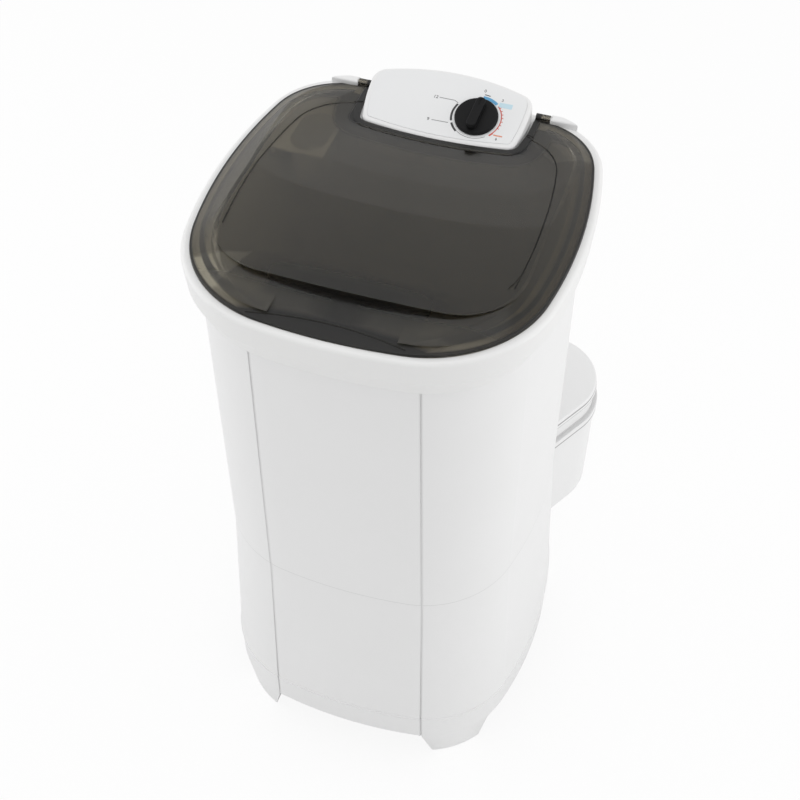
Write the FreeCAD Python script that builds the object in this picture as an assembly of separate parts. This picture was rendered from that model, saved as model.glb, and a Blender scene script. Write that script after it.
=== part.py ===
import FreeCAD, Part
import math
import os
from collections import namedtuple

# Semi-automatic washing machine, mm. Front faces -Y, +Z is up, the floor is z = 0. The sizes below are measured
# from the cabinet's middle plane and are moved to the middle of the whole machine when a part is written.

Vector = FreeCAD.Vector
UP = Vector(0, 0, 1)

# A plan outline of eight tangent arcs, the same on the left and on the right
Plan = namedtuple("Plan", "half_width front back front_bow side_bow back_bow "
                          "front_corner rear_corner side_centre")

# Heights above the floor
deck_top = 817.0
seam_height = 372.0
band_height = 111.0
arch_height = 65.0
shell_clear = 1.5
tub_floor = 285.0
skirt_drop = 55.0
knee_drop = 31.0

# Plans of the lid, of the top of its slopes, of the line round its middle, of the foot and the top of its
# raised middle, of the console, and of the cabinet at three heights
lid_plan = Plan(204.8, -265.2, 154.3, 622, 584, 895, 138, 83, -47)
slope_top = Plan(168.5, -190, 104, 3000, 735, 900, 72, 72, -72)
line_plan = Plan(164, -190, 118, 3000, 735, 900, 72, 78, -72)
hill_foot = Plan(176.5, -203, 106, 3000, 735, 900, 76, 74, -72)
hill_top = Plan(168.5, -172, 98, 3000, 735, 900, 66, 68, -72)
console_plan = Plan(97.2, 74.9, 168, 532, 200, 300, 10.6, 18, 134)
top_plan = Plan(200, -258.5, 150, 600, 470, 890, 125, 100, -42)
seam_plan = Plan(199, -256, 150, 600, 470, 890, 125, 100, -42)
band_plan = Plan(212.5, -265.5, 158, 600, 470, 890, 125, 100, -42)

# Shell sizes
rim_overhang = 10.0
rim_rear = 4.5
rim_wall = 3.0
deck_plate = 3.5
rim_round = 5.0
mouth_inset = 26.0
mouth_chamfer = 3.0
tub_wall = 3.0
tub_taper = 14.0
tub_round = 35.0
cabinet_wall = 3.5
cabinet_flange = 6.5
base_wall = 3.5
collar_height = 14.0
collar_wall = 4.0
seam_step = 1.0
foot_tuck = 7.0
sole_tuck = 5.0
sole_rise = 10.0
band_bead = 1.3
band_run = 9.0
band_lip = 0.5
band_root = 1.0
beyond = 500.0

# Clearances
seat_gap = 0.3
skirt_gap = 0.4
running_gap = 0.04
belt_gap = 0.3

# Grooves in the front, as x at the top, at the seam and at the arch
groove_top_x = 94.4
groove_seam_x = 99.3
groove_low_x = 104.6
groove_width = 2.2
groove_depth = 2.1

# Arches between the feet, foot pads
front_arch_low = 121.0
side_arch_front = -195.5
side_arch_rear = 80.0
side_arch_lean = 5.0
arch_round = 10.0
foot_round = 10.0
side_foot_round = 3.0
leg_wall = 3.0
pad_radius = 9.0
pad_height = 4.5
sole = 3.5
front_pad = (141.5, -213.5)
rear_pad = (146.0, 106.0)

# Lid
lid_thick = 3.4
lid_shell = 2.6
lid_draft = 0.8
hill_rise = 19.0
crown_rise = 17.5
crown_front_y = -50.0
crown_front_radius = 2000.0
apron_rise = 4.0
apron_radius = 1400.0
apron_back = -105.0
slope_margin = 1.5
lid_edge = 9.0
notch_gap = 3.0
notch_bead = 8.0
bead_rise = 2.0
bead_round = 1.8
line_half = 0.8
line_depth = 0.9
line_front = -150.0

# Fall of the lid's top, as rises above the deck: at lines toward the rear, and at distances from the console
rear_fall = ((152.0, 4.0), (106.0, 8.0), (50.0, 13.0), (-30.0, 17.5))
console_dip = ((8.0, 3.9), (45.0, 8.0), (90.0, 13.0), (150.0, 17.5), (190.0, 19.5))

# Finger scoop at the lid's front
scoop_reach = 23.0
scoop_half = 94.0
scoop_depth = 2.0
scoop_sag = 10.0

# Lid hinge
hinge_y = 151.0
hinge_rise = 4.6
lug_inner = 100.4
lug_width = 17.0
lug_radius = 4.2
lug_length = 22.0
rim_stop = 12.0
pin_radius = 2.0
pin_length = 28.0
block_gap = 0.6
block_width = 41.0
block_half = 5.5
block_height = 8.0
block_round = 2.5
block_inset = 3.0

# Console and timer
console_x = 4.2
console_lift = 2.54
console_tilt = 18.5
console_wall = 2.6
console_round = 4.0
console_stock = 90.0
recess_depth = 5.5
recess_back = 133.5
fascia_inset = 6.0
fascia_thick = 1.6
fascia_sink = 1.2
knob_x = 38.8
knob_up = 39.9
knob_radius = 25.2
knob_height = 4.8
knob_bevel = 1.4
grip_width = 11.0
grip_half = 20.5
grip_top = 13.5
grip_round = 5.0
grip_turn = 5.0
shaft_top = 9.5
timer_half = 20.0
timer_rear = 8.5
timer_depth = 23.0
timer_shaft = 3.0
bay_margin = 6.0
bay_depth = 72.0
bay_slope = 38.0
wiring_half = 66.0
wiring_front = 86.0
screw_radius = 1.75
console_post = 4.5
console_posts = ((-74.0, 98.0), (82.0, 98.0), (-77.0, 125.0), (86.0, 125.0))

# Soap cup in the left rear corner of the tub
cup_x = -137.0
cup_front = 44.0
cup_rear = 72.0
cup_radius = 24.0
cup_depth = 46.0
cup_wall = 2.0
cup_drop = 12.0
cup_plate = 2.5
ledge_width = 6.0

# Agitator, shaft and bearing
axis_y = -55.0
agitator_radius = 125.0
agitator_lift = 4.0
fin_count = 4
fin_width = 10.0
shaft_radius = 7.0
bush_radius = 10.0
bush_length = 20.0
seal_radius = 12.0
housing_radius = 22.0
spindle_neck = 16.0
housing_flange = 55.0
housing_bottom = 205.0

# Belt drive
belt_z = 172.0
driven_radius = 86.0
drive_radius = 24.0
belt_thick = 6.0
belt_half_width = 5.3
groove_angle = 20.6

# Motor tower
motor_x = 135.0
motor_y = 195.0
pot_bottom = 141.0
pot_radius = 82.4
pot_taper = 1.6
pot_round = 10.0
tower_wall = 3.0
cap_drop = 22.0
cap_tall = 11.0
cap_radius = 81.6
cap_round = 2.5
neck_tall = 25.0
neck_radius = 78.5
collar_tall = 18.0
collar_radius = 85.0
joint_gap = 1.8
joint_depth = 5.0
vent_count = 9
vent_width = 5.0
vent_margin = 4.0
vent_first = -26.0
vent_last = 98.0
arm_length = 150.0
plate_z = 188.0
plate_thick = 3.0
plate_radius = 71.0
post_ring = 64.0
post_radius = 6.0
stator_radius = 46.0
stator_bore = 27.0
stator_bottom = 216.0
stator_top = 262.0
air_gap = 0.6
motor_shaft = 5.0
fan_radius = 42.0
fan_z = 292.0
window_half = 62.0
window_low = 152.0
window_high = 204.0
capacitor_radius = 17.5
capacitor_low = 205.0
capacitor_high = 277.0
capacitor_at = (97.0, 119.0)

# Drain, cord gland and hose clip
drain_x = -102.0
drain_y = 44.0
drain_radius = 14.0
drain_bore = 11.0
drain_z = 145.0
drain_bend = 30.0
spigot_radius = 11.0
spigot_length = 28.0
gland_x = -40.0
gland_z = 160.0
gland_radius = 7.0
gland_bore = 4.0
clip_drop = 42.0
clip_bore = 13.5
clip_wall = 3.0

# Middle of the whole machine, tower included; it becomes the origin
middle_x = 2.8
middle_y = 2.6

to_origin = Vector(-middle_x, -middle_y, 0)
arm = Vector(motor_x, motor_y - axis_y, 0).normalize()
motor_centre = Vector(motor_x, motor_y, 0)
skirt_bottom = deck_top - skirt_drop
skirt_knee = deck_top - knee_drop
clip_z = skirt_bottom - clip_drop
recess_floor = deck_top - recess_depth
hill_height = deck_top + hill_rise
hinge_z = deck_top + hinge_rise
cup_plate_z = deck_top - cup_drop
cap_top = seam_height - cap_drop
cap_bottom = cap_top - cap_tall
collar_top = cap_bottom - neck_tall
collar_bottom = collar_top - collar_tall
pot_top = collar_bottom - joint_gap
console_place = FreeCAD.Placement(Vector(console_x, console_plan.front, deck_top + console_lift),
                                  FreeCAD.Rotation(Vector(1, 0, 0), console_tilt))


def grow(plan, distance):
    """The same outline moved outward by a distance; every arc keeps its centre."""
    return Plan(plan.half_width + distance, plan.front - distance, plan.back + distance,
                plan.front_bow + distance, plan.side_bow + distance, plan.back_bow + distance,
                plan.front_corner + distance, plan.rear_corner + distance, plan.side_centre)


def blend(low, high, share):
    return Plan(*(a + (b - a) * share for a, b in zip(low, high)))


def cabinet_plan(z):
    """Cabinet outline at a height, without the step at the seam."""
    if z >= seam_height:
        return blend(seam_plan, top_plan, (z - seam_height) / (skirt_bottom - seam_height))
    if z >= band_height:
        return blend(band_plan, seam_plan, (z - band_height) / (seam_height - band_height))
    return band_plan


def corner_centre(bow, bow_radius, side, side_radius, upward):
    """Centre that lies at two given distances from two bow centres, on the right-hand side."""
    between = side - bow
    gap = between.Length
    along = (bow_radius ** 2 - side_radius ** 2 + gap ** 2) / (2 * gap)
    off = math.sqrt(bow_radius ** 2 - along ** 2)
    ahead = between / gap
    across = Vector(-ahead.y, ahead.x, 0)
    found = [bow + ahead * along + across * off, bow + ahead * along - across * off]
    return max(found, key=lambda point: point.y if upward else -point.y)


def outline(plan, z):
    front = Vector(0, plan.front + plan.front_bow, 0)
    side = Vector(plan.half_width - plan.side_bow, plan.side_centre, 0)
    back = Vector(0, plan.back - plan.back_bow, 0)
    near = corner_centre(front, plan.front_bow - plan.front_corner,
                         side, plan.side_bow - plan.front_corner, False)
    far = corner_centre(back, plan.back_bow - plan.rear_corner,
                        side, plan.side_bow - plan.rear_corner, True)

    def reach(centre, toward, radius):
        return centre + (toward - centre).normalize() * radius

    a = reach(front, near, plan.front_bow)
    b = reach(side, near, plan.side_bow)
    c = reach(side, far, plan.side_bow)
    d = reach(back, far, plan.back_bow)
    ab = reach(near, (a + b) * 0.5, plan.front_corner)
    bc = reach(side, (b + c) * 0.5, plan.side_bow)
    cd = reach(far, (c + d) * 0.5, plan.rear_corner)

    def left(point):
        return Vector(-point.x, point.y, 0)

    spans = [(left(a), Vector(0, plan.front, 0), a), (a, ab, b), (b, bc, c), (c, cd, d),
             (d, Vector(0, plan.back, 0), left(d)), (left(d), left(cd), left(c)),
             (left(c), left(bc), left(b)), (left(b), left(ab), left(a))]
    lift = Vector(0, 0, z)
    return Part.Wire([Part.Arc(p + lift, q + lift, r + lift).toShape() for p, q, r in spans])


def stack(*levels):
    """Solid through outlines at rising heights, given as (plan, z)."""
    return Part.makeLoft([outline(plan, z) for plan, z in levels], True, True)


def edges_at(shape, z):
    return [edge for edge in shape.Edges
            if abs(edge.BoundBox.ZMin - z) < 0.01 and abs(edge.BoundBox.ZMax - z) < 0.01]


def soften(shape, z, radius):
    return shape.makeFillet(radius, edges_at(shape, z))


def block(x0, x1, y0, y1, z0, z1):
    return Part.makeBox(x1 - x0, y1 - y0, z1 - z0, Vector(x0, y0, z0))


def rod(radius, start, end):
    return Part.makeCylinder(radius, (end - start).Length, start, end - start)


def disc(radius, z0, z1, x=0.0, y=0.0):
    return Part.makeCylinder(radius, z1 - z0, Vector(x, y, z0))


def tube(outer, inner, z0, z1, x=0.0, y=0.0):
    return disc(outer, z0, z1, x, y).cut(disc(inner, z0 - 1, z1 + 1, x, y))


def turned(profile, x=0.0, y=0.0):
    """Solid of revolution about an upright axis, from (radius, z) points."""
    points = [Vector(r, 0, z) for r, z in profile]
    solid = Part.Face(Part.makePolygon(points + points[:1])).revolve(Vector(), UP, 360)
    return solid.translated(Vector(x, y, 0))


def hexagon(across, z0, z1, x=0.0, y=0.0):
    radius = across / math.sqrt(3)
    points = [Vector(x + radius * math.cos(math.radians(60 * i)),
                     y + radius * math.sin(math.radians(60 * i)), z0) for i in range(7)]
    return Part.Face(Part.makePolygon(points)).extrude(Vector(0, 0, z1 - z0))


def other_side(shape, middle=0.0):
    return shape.mirror(Vector(middle, 0, 0), Vector(1, 0, 0))


def mirrored_pair(shape, middle=0.0):
    return Part.makeCompound([shape, other_side(shape, middle)])


def all_of(shapes):
    shapes = list(shapes)
    return shapes[0].multiFuse(shapes[1:]) if len(shapes) > 1 else shapes[0]


def around(centre, ring, angle):
    """Point on a circle; the angle is measured from the tower's arm, in degrees."""
    turn = math.atan2(arm.y, arm.x) + math.radians(angle)
    return Vector(centre.x + ring * math.cos(turn), centre.y + ring * math.sin(turn), 0)


def front_face_y(plan, x):
    return plan.front + plan.front_bow - math.sqrt(plan.front_bow ** 2 - x ** 2)


def back_face_y(plan, x):
    return plan.back - plan.back_bow + math.sqrt(plan.back_bow ** 2 - x ** 2)


def groove(z0, x0, plan0, z1, x1, plan1):
    """Groove cutters that follow the front face between two heights, both sides."""
    half = groove_width / 2

    def section(x, plan, z):
        face = front_face_y(plan, x)
        corners = ((x - half, face - 2), (x + half, face - 2),
                   (x + half, face + groove_depth), (x - half, face + groove_depth))
        points = [Vector(px, py, z) for px, py in corners]
        return Part.makePolygon(points + points[:1])

    return mirrored_pair(Part.makeLoft([section(x0, plan0, z0), section(x1, plan1, z1)], True, True))


def arm_outline(radius, z):
    """Plan of the tower: a half circle round the motor and two straight walls toward the tub's axis."""
    across = Vector(-arm.y, arm.x, 0) * radius
    lift = Vector(0, 0, z)
    far = motor_centre + lift
    near = far - arm * arm_length
    return Part.Wire([Part.Arc(far - across, far + arm * radius, far + across).toShape(),
                      Part.makeLine(far + across, near + across),
                      Part.Arc(near + across, near - arm * radius, near - across).toShape(),
                      Part.makeLine(near - across, far - across)])


def arm_stack(*levels):
    return Part.makeLoft([arm_outline(radius, z) for radius, z in levels], True, True)


def base_outer(margin=0.0):
    foot = grow(band_plan, margin - foot_tuck)
    return stack((grow(foot, -sole_tuck), shell_clear), (foot, shell_clear + sole_rise),
                 (grow(band_plan, margin), arch_height), (grow(band_plan, margin), band_height),
                 (grow(seam_plan, margin), seam_height))


def base_inner():
    thick = seam_step - cabinet_wall - seat_gap - collar_wall
    low = seam_height - 20
    high = seam_height + collar_height + 1
    foot = grow(band_plan, -base_wall - foot_tuck)
    return stack((grow(foot, -sole_tuck), shell_clear - 1), (foot, shell_clear + sole_rise),
                 (grow(band_plan, -base_wall), arch_height), (grow(band_plan, -base_wall), band_height),
                 (grow(cabinet_plan(low - 12), -base_wall), low - 12),
                 (grow(cabinet_plan(low), thick), low), (grow(seam_plan, thick), high))


def arch_section(half_low, half_high, round_out, place):
    """Outline of a passage between two feet, rounded out at the floor; place sets each point."""
    lean = (half_low - half_high) / arch_height
    root = 0.5 ** 0.5
    spring = half_low - lean * round_out
    corner = spring + round_out

    def both(x, z):
        return place(x, z), place(-x, z)

    top, top_left = both(half_high, arch_height)
    side, side_left = both(spring, round_out)
    bend, bend_left = both(corner - round_out * root, round_out * (1 - root))
    floor, floor_left = both(corner, 0)
    under, under_left = both(corner, -round_out)
    return Part.Wire([Part.makeLine(top_left, top), Part.makeLine(top, side),
                      Part.Arc(side, bend, floor).toShape(),
                      Part.makeLine(floor, under), Part.makeLine(under, under_left),
                      Part.makeLine(under_left, floor_left),
                      Part.Arc(floor_left, bend_left, side_left).toShape(), Part.makeLine(side_left, top_left)])


def arches(extra):
    """Through-cuts between the feet, along Y and along X; extra widens them."""
    along_y = arch_section(front_arch_low + extra, groove_low_x + extra, foot_round,
                           lambda x, z: Vector(x, -beyond, z))
    along_y = Part.Face(along_y).extrude(Vector(0, 2 * beyond, 0))
    middle = (side_arch_front + side_arch_rear) / 2
    half = (side_arch_rear - side_arch_front) / 2 + extra
    along_x = arch_section(half + side_arch_lean, half, side_foot_round,
                           lambda y, z: Vector(-beyond, middle + y, z))
    along_x = Part.Face(along_x).extrude(Vector(2 * beyond, 0, 0))
    return soften(along_y, arch_height, arch_round), soften(along_x, arch_height, arch_round)


def make_base():
    outer = base_outer()
    swell = grow(band_plan, band_bead)
    sunk = grow(cabinet_plan(band_height + band_lip), -band_root)
    bead_ring = stack((grow(band_plan, -band_root), band_height - band_run), (swell, band_height - band_lip),
                      (swell, band_height), (sunk, band_height + band_lip))
    collar_grow = seam_step - cabinet_wall - seat_gap
    collar = stack((grow(seam_plan, collar_grow), seam_height - 1),
                   (grow(seam_plan, collar_grow), seam_height + collar_height))
    inner = base_inner()
    shell = all_of([outer, bead_ring, collar]).cut(inner)
    cut_y, cut_x = arches(0)
    wide_y, wide_x = arches(leg_wall)
    column = inner.common(block(-beyond, beyond, -beyond, beyond, shell_clear, arch_height + leg_wall))
    hollow = inner.common(block(-beyond, beyond, -beyond, beyond, pad_height + sole,
                                arch_height + 2 * leg_wall))
    legs = column.cut(hollow.cut(wide_y).cut(wide_x)).cut(cut_y).cut(cut_x)
    body = shell.cut(cut_y).cut(cut_x).fuse(legs)
    for x, y in pad_places():
        body = body.cut(disc(pad_radius + 0.2, -1, pad_height, x, y))
    body = body.cut(groove(band_height, groove_mid_x(band_height), band_plan,
                           seam_height + 1, groove_seam_x, seam_plan))
    body = body.cut(groove(arch_height - 5, groove_low_x, band_plan,
                           band_height, groove_mid_x(band_height), band_plan))
    body = body.cut(belt_window())
    wall = back_face_y(cabinet_plan(drain_z), drain_x)
    body = body.cut(rod(drain_radius + 3, Vector(drain_x, wall - 20, drain_z),
                        Vector(drain_x, wall + 20, drain_z)))
    wall = back_face_y(cabinet_plan(gland_z), gland_x)
    return body.cut(rod(gland_radius + 0.1, Vector(gland_x, wall - 20, gland_z),
                        Vector(gland_x, wall + 20, gland_z)))


def groove_mid_x(z):
    return groove_low_x + (groove_seam_x - groove_low_x) * (z - arch_height) / (seam_height - arch_height)


def belt_window():
    """Opening in the base wall for the belt, square to the arm."""
    across = Vector(-arm.y, arm.x, 0) * window_half
    near = motor_centre - arm * arm_length + Vector(0, 0, window_low)
    far = motor_centre + Vector(0, 0, window_low)
    frame = Part.makePolygon([near - across, near + across, far + across, far - across, near - across])
    return Part.Face(frame).extrude(Vector(0, 0, window_high - window_low))


def pad_places():
    return [(side * x, y) for x, y in (front_pad, rear_pad) for side in (-1, 1)]


def make_foot_pads():
    pad = turned([(0, 0), (pad_radius - 2, 0), (pad_radius, 2), (pad_radius, pad_height), (0, pad_height)])
    return Part.makeCompound([pad.translated(Vector(x, y, 0)) for x, y in pad_places()])


def cabinet_outer(margin=0.0):
    top = grow(top_plan, margin)
    return stack((grow(seam_plan, seam_step + margin), seam_height), (top, skirt_bottom),
                 (top, deck_top - deck_plate))


def make_cabinet():
    under_deck = deck_top - deck_plate
    low = grow(seam_plan, seam_step)
    outer = cabinet_outer()
    inner = stack((grow(low, -cabinet_wall), seam_height - 1), (grow(top_plan, -cabinet_wall), skirt_bottom),
                  (grow(top_plan, -cabinet_wall), under_deck - cabinet_wall))
    mouth = stack((grow(top_plan, -cabinet_flange), under_deck - 10),
                  (grow(top_plan, -cabinet_flange), under_deck + 1))
    body = outer.cut(inner).cut(mouth)
    return body.cut(groove(seam_height - 1, groove_seam_x, low, skirt_bottom + 10, groove_top_x, top_plan))


def tub_cavity():
    plan = grow(lid_plan, -mouth_inset)
    body = stack((grow(plan, -tub_taper), tub_floor), (plan, deck_top - 2 * mouth_chamfer),
                 (grow(plan, mouth_chamfer), deck_top + 0.5))
    return soften(body, tub_floor, tub_round)


def at_console(shape):
    return shape.translated(Vector(console_x, 0, 0))


def console_prism(margin, z0, z1):
    plan = grow(console_plan, margin)
    return at_console(stack((plan, z0), (plan, z1)))


def bay_solid(margin, low, high):
    """Space below the console, with a sloping lower front."""
    plan = grow(console_plan, margin)
    tucked = plan._replace(front=plan.front + bay_slope)
    return at_console(stack((tucked, low), (plan, low + bay_slope), (plan, high)))


def recess_prism(margin, z0, z1):
    """Footprint of the console in the deck, up to the rear line where it stands on the rim instead."""
    return console_prism(margin, z0, z1).common(block(-beyond, beyond, 0, recess_back + margin, z0, z1))


def cup_plan(radius, z):
    a = Vector(cup_x, cup_front, z)
    b = Vector(cup_x, cup_rear, z)
    out = Vector(radius, 0, 0)
    return Part.Wire([Part.Arc(a - out, a - Vector(0, radius, 0), a + out).toShape(),
                      Part.makeLine(a + out, b + out),
                      Part.Arc(b + out, b + Vector(0, radius, 0), b - out).toShape(),
                      Part.makeLine(b - out, a - out)])


def cup_corner(z0, z1):
    """The rear left corner of the tub that the soap cup's plate fills."""
    return block(-230, cup_x + cup_radius + 3, cup_front - cup_radius - 4, 200, z0, z1)


def rim_outline():
    """Plan of the rim round the lid, deeper behind the hinge."""
    rim = grow(lid_plan, rim_overhang)
    return rim._replace(back=rim.back + rim_rear)


def make_tub():
    rim = rim_outline()
    knee = grow(rim, -2.5)
    outer = stack((grow(top_plan, skirt_gap + rim_wall), skirt_bottom), (knee, skirt_knee), (rim, deck_top))
    outer = soften(outer, deck_top, rim_round)
    inner = stack((grow(top_plan, skirt_gap), skirt_bottom - 1), (grow(knee, -rim_wall), skirt_knee),
                  (grow(rim, -rim_wall), deck_top - deck_plate))
    mouth = grow(lid_plan, -mouth_inset)
    tank = stack((grow(mouth, tub_wall - tub_taper), tub_floor - tub_wall),
                 (grow(mouth, tub_wall), deck_top - 1))
    tank = soften(tank, tub_floor - tub_wall, tub_round + tub_wall)
    cavity = tub_cavity()
    bay = bay_solid(bay_margin, deck_top - bay_depth, deck_top + 5)
    body = outer.cut(inner).fuse(tank).cut(cavity.cut(bay))
    hollow = bay_solid(bay_margin - tub_wall, deck_top - bay_depth + tub_wall, recess_floor - deck_plate)
    body = body.cut(hollow.common(block(-beyond, beyond, 0, recess_back, 0, deck_top)))
    body = body.fuse(recess_prism(bay_margin - tub_wall, recess_floor - deck_plate, deck_top - 1))
    body = body.cut(recess_prism(seat_gap, recess_floor, deck_top + 1))
    wiring = block(-wiring_half, wiring_half, wiring_front, recess_back - 4,
                   recess_floor - deck_plate - 1, deck_top + 1)
    body = body.cut(at_console(wiring))
    ledge = cup_corner(cup_plate_z - ledge_width, cup_plate_z).common(cavity)
    within = grow(mouth, -ledge_width)
    inside = stack((within, cup_plate_z - 2 * ledge_width), (within, cup_plate_z + ledge_width))
    pocket = Part.makeLoft([cup_plan(cup_radius + 1, cup_plate_z - 2 * ledge_width),
                            cup_plan(cup_radius + 1, cup_plate_z + 1)], True, True)
    body = body.fuse(ledge.cut(inside).cut(pocket))
    ribs = [block(-1.5, 1.5, 58, 118, tub_floor - tub_wall - 12, tub_floor - tub_wall + 1)
            .rotated(Vector(), UP, 60 * i + 30).translated(Vector(0, axis_y, 0)) for i in range(6)]
    body = body.fuse(all_of(ribs))
    body = body.cut(disc(spindle_neck, tub_floor - 10, tub_floor + 10, 0, axis_y))
    body = body.cut(disc(drain_radius + 1, tub_floor - 10, tub_floor + 10, drain_x, drain_y))
    for x, y in console_posts:
        body = body.cut(disc(screw_radius + 0.3, recess_floor - 10, deck_top + 1, x, y))
    return body


def notch(margin, z0, z1):
    """Clear space round the console, open to the rear."""
    plan = grow(console_plan, margin)
    straight = block(-plan.half_width, plan.half_width, plan.side_centre, beyond, z0, z1)
    return console_prism(margin, z0, z1).fuse(at_console(straight))


def crown(drop):
    """Everything below the lid's top, which falls in an arc to the front and in easy steps to the rear."""
    top = deck_top + crown_rise
    centre = top - crown_front_radius
    front = rod(crown_front_radius - drop, Vector(-beyond, crown_front_y, centre),
                Vector(beyond, crown_front_y, centre))
    front = front.common(block(-beyond, beyond, -beyond, crown_front_y, top - beyond, top + 1))
    rear = block(-beyond, beyond, crown_front_y, beyond, top - beyond, top - drop)

    def across(back):
        return Plan(beyond - 100, -beyond, back, 3000, 3000, lid_plan.back_bow, 60, 60, 0)

    levels = [(across(back), deck_top + rise - drop) for back, rise in rear_fall]
    fall = stack((across(rear_fall[0][0]), deck_top - beyond), *levels)
    return front.fuse(rear).common(fall)


def dip(drop):
    """Space above the hollow round the console."""
    levels = [(grow(console_plan, margin), deck_top + rise - drop) for margin, rise in console_dip]
    return at_console(stack(*levels))


def lid_form(margin, inset, drop, z0):
    """The lid's raised form: slopes up from the edge, a low apron in front, and the crowned middle."""
    slopes = stack((grow(lid_plan, -margin), z0), (grow(slope_top, -inset), hill_height - drop))
    centre = deck_top + apron_rise + apron_radius
    apron = rod(apron_radius + drop, Vector(0, -beyond, centre), Vector(0, apron_back, centre))
    apron = apron.common(block(-beyond, beyond, -beyond, apron_back, z0 - 10, hill_height + 20))
    foot = grow(hill_foot, -inset)
    apron = apron.cut(stack((foot, z0 - 20), (foot, hill_height + 30)))
    hill = stack((foot, z0), (grow(hill_top, -inset), hill_height))
    return slopes.cut(apron).fuse(hill).common(crown(drop)).cut(dip(drop))


def contour_line(low):
    """Fine groove round the middle of the lid, at the sides and the rear."""
    outer = grow(line_plan, line_half)
    inner = grow(line_plan, -line_half)
    ring = stack((outer, low), (outer, hill_height + 5))
    ring = ring.cut(stack((inner, low - 1), (inner, hill_height + 6)))
    ring = ring.common(block(-beyond, beyond, line_front, beyond, low, hill_height + 5))
    return ring.cut(lid_form(slope_margin, 0, line_depth, low))


def make_lid():
    low = deck_top + seat_gap
    edge_top = low + lid_thick
    plate = stack((lid_plan, low), (grow(lid_plan, -lid_draft), edge_top))
    hill = lid_form(slope_margin, 0, 0, edge_top - 0.4)
    under = lid_form(lid_edge, lid_shell, lid_shell, low - 1)
    wall = notch(notch_gap + notch_bead, low - 2, hill_height)
    bead_top = edge_top + bead_rise
    rim = soften(notch(notch_gap + notch_bead, low, bead_top), bead_top, bead_round)
    rim = rim.cut(block(-beyond, beyond, hinge_y - rim_stop, beyond, low - 1, low + beyond))
    body = all_of([plate, hill]).cut(contour_line(edge_top - 0.4)).fuse(rim)
    body = body.cut(under.cut(wall)).cut(notch(notch_gap, low - 3, hill_height + 6))
    bend = (scoop_half ** 2 + scoop_sag ** 2) / (2 * scoop_sag)
    centre = lid_plan.front + scoop_reach - bend
    scoop = Part.makeCone(bend - scoop_reach, bend + scoop_reach, 2 * scoop_depth,
                          Vector(0, centre, edge_top - scoop_depth))
    body = body.cut(scoop)
    x0 = lug_inner + lug_width - 0.1
    clear = 2 * block_gap + block_width + 0.8
    recess = at_console(block(x0, x0 + clear, hinge_y - block_half - 2.5, beyond, low - 1, low + beyond))
    body = body.cut(recess).cut(other_side(recess, console_x))
    lug = block(lug_inner, lug_inner + lug_width, hinge_y - lug_length, hinge_y, low, edge_top)
    knuckle = rod(lug_radius, Vector(lug_inner, hinge_y, hinge_z),
                  Vector(lug_inner + lug_width, hinge_y, hinge_z))
    bore = at_console(rod(pin_radius, Vector(lug_inner - 1, hinge_y, hinge_z),
                          Vector(lug_inner + lug_width + 1, hinge_y, hinge_z)))
    ear = at_console(lug.fuse(knuckle))
    half = lug_inner + lug_width
    body = body.cut(at_console(block(-half, half, hinge_y - 0.5, beyond, low - 1, low + beyond)))
    body = all_of([body, ear, other_side(ear, console_x)])
    return body.cut(bore).cut(other_side(bore, console_x))


def make_hinge_pins():
    pin = rod(pin_radius, Vector(lug_inner + 2, hinge_y, hinge_z),
              Vector(lug_inner + 2 + pin_length, hinge_y, hinge_z))
    return mirrored_pair(at_console(pin), console_x)


def make_hinge_blocks():
    x0 = lug_inner + lug_width + block_gap
    body = block(x0, x0 + block_width, hinge_y - block_half, hinge_y + block_half,
                 deck_top, deck_top + block_height)
    body = soften(body, deck_top + block_height, block_round)
    rim = grow(rim_outline(), -block_inset)
    body = at_console(body).common(stack((rim, deck_top), (rim, deck_top + 2 * block_height)))
    bore = rod(pin_radius + running_gap, Vector(x0 - 1, hinge_y, hinge_z),
               Vector(lug_inner + 2 + pin_length + 0.5, hinge_y, hinge_z))
    return mirrored_pair(body.cut(at_console(bore)), console_x)


def slope_half(offset):
    """Everything above the console's sloping face, moved along its normal by offset."""
    solid = block(-beyond, beyond, -beyond, beyond, offset, beyond)
    solid.Placement = console_place
    return solid


def on_console(shape):
    placed = shape.copy()
    placed.Placement = console_place.multiply(placed.Placement)
    return placed


def make_console():
    above = deck_top + console_stock
    prism = console_prism(0, recess_floor, above).cut(slope_half(0))
    prism = prism.cut(block(-beyond, beyond, recess_back, beyond, recess_floor - 1, deck_top))
    top = max(prism.Faces, key=lambda face: face.normalAt(0, 0).z)
    body = prism.makeFillet(console_round, top.Edges)
    inner = console_prism(-console_wall, recess_floor - 1, above).cut(slope_half(-console_wall - fascia_sink))
    body = body.cut(inner)
    posts = [disc(console_post, recess_floor, above, x, y).cut(slope_half(-fascia_sink - 1))
             for x, y in console_posts]
    body = all_of([body] + posts)
    bed = console_prism(0.2 - fascia_inset, recess_floor, above)
    body = body.cut(bed.common(slope_half(-fascia_sink)))
    body = body.cut(on_console(disc(timer_shaft + 2, -30, 30, knob_x, knob_up)))
    for x, y in console_posts:
        body = body.cut(disc(screw_radius, recess_floor - 1, deck_top + 9, x, y))
    return body


def make_fascia():
    plate = console_prism(-fascia_inset, recess_floor, deck_top + console_stock)
    plate = plate.common(slope_half(-fascia_sink)).cut(slope_half(fascia_thick - fascia_sink))
    return plate.cut(on_console(disc(timer_shaft + 2, -30, 30, knob_x, knob_up)))


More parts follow.
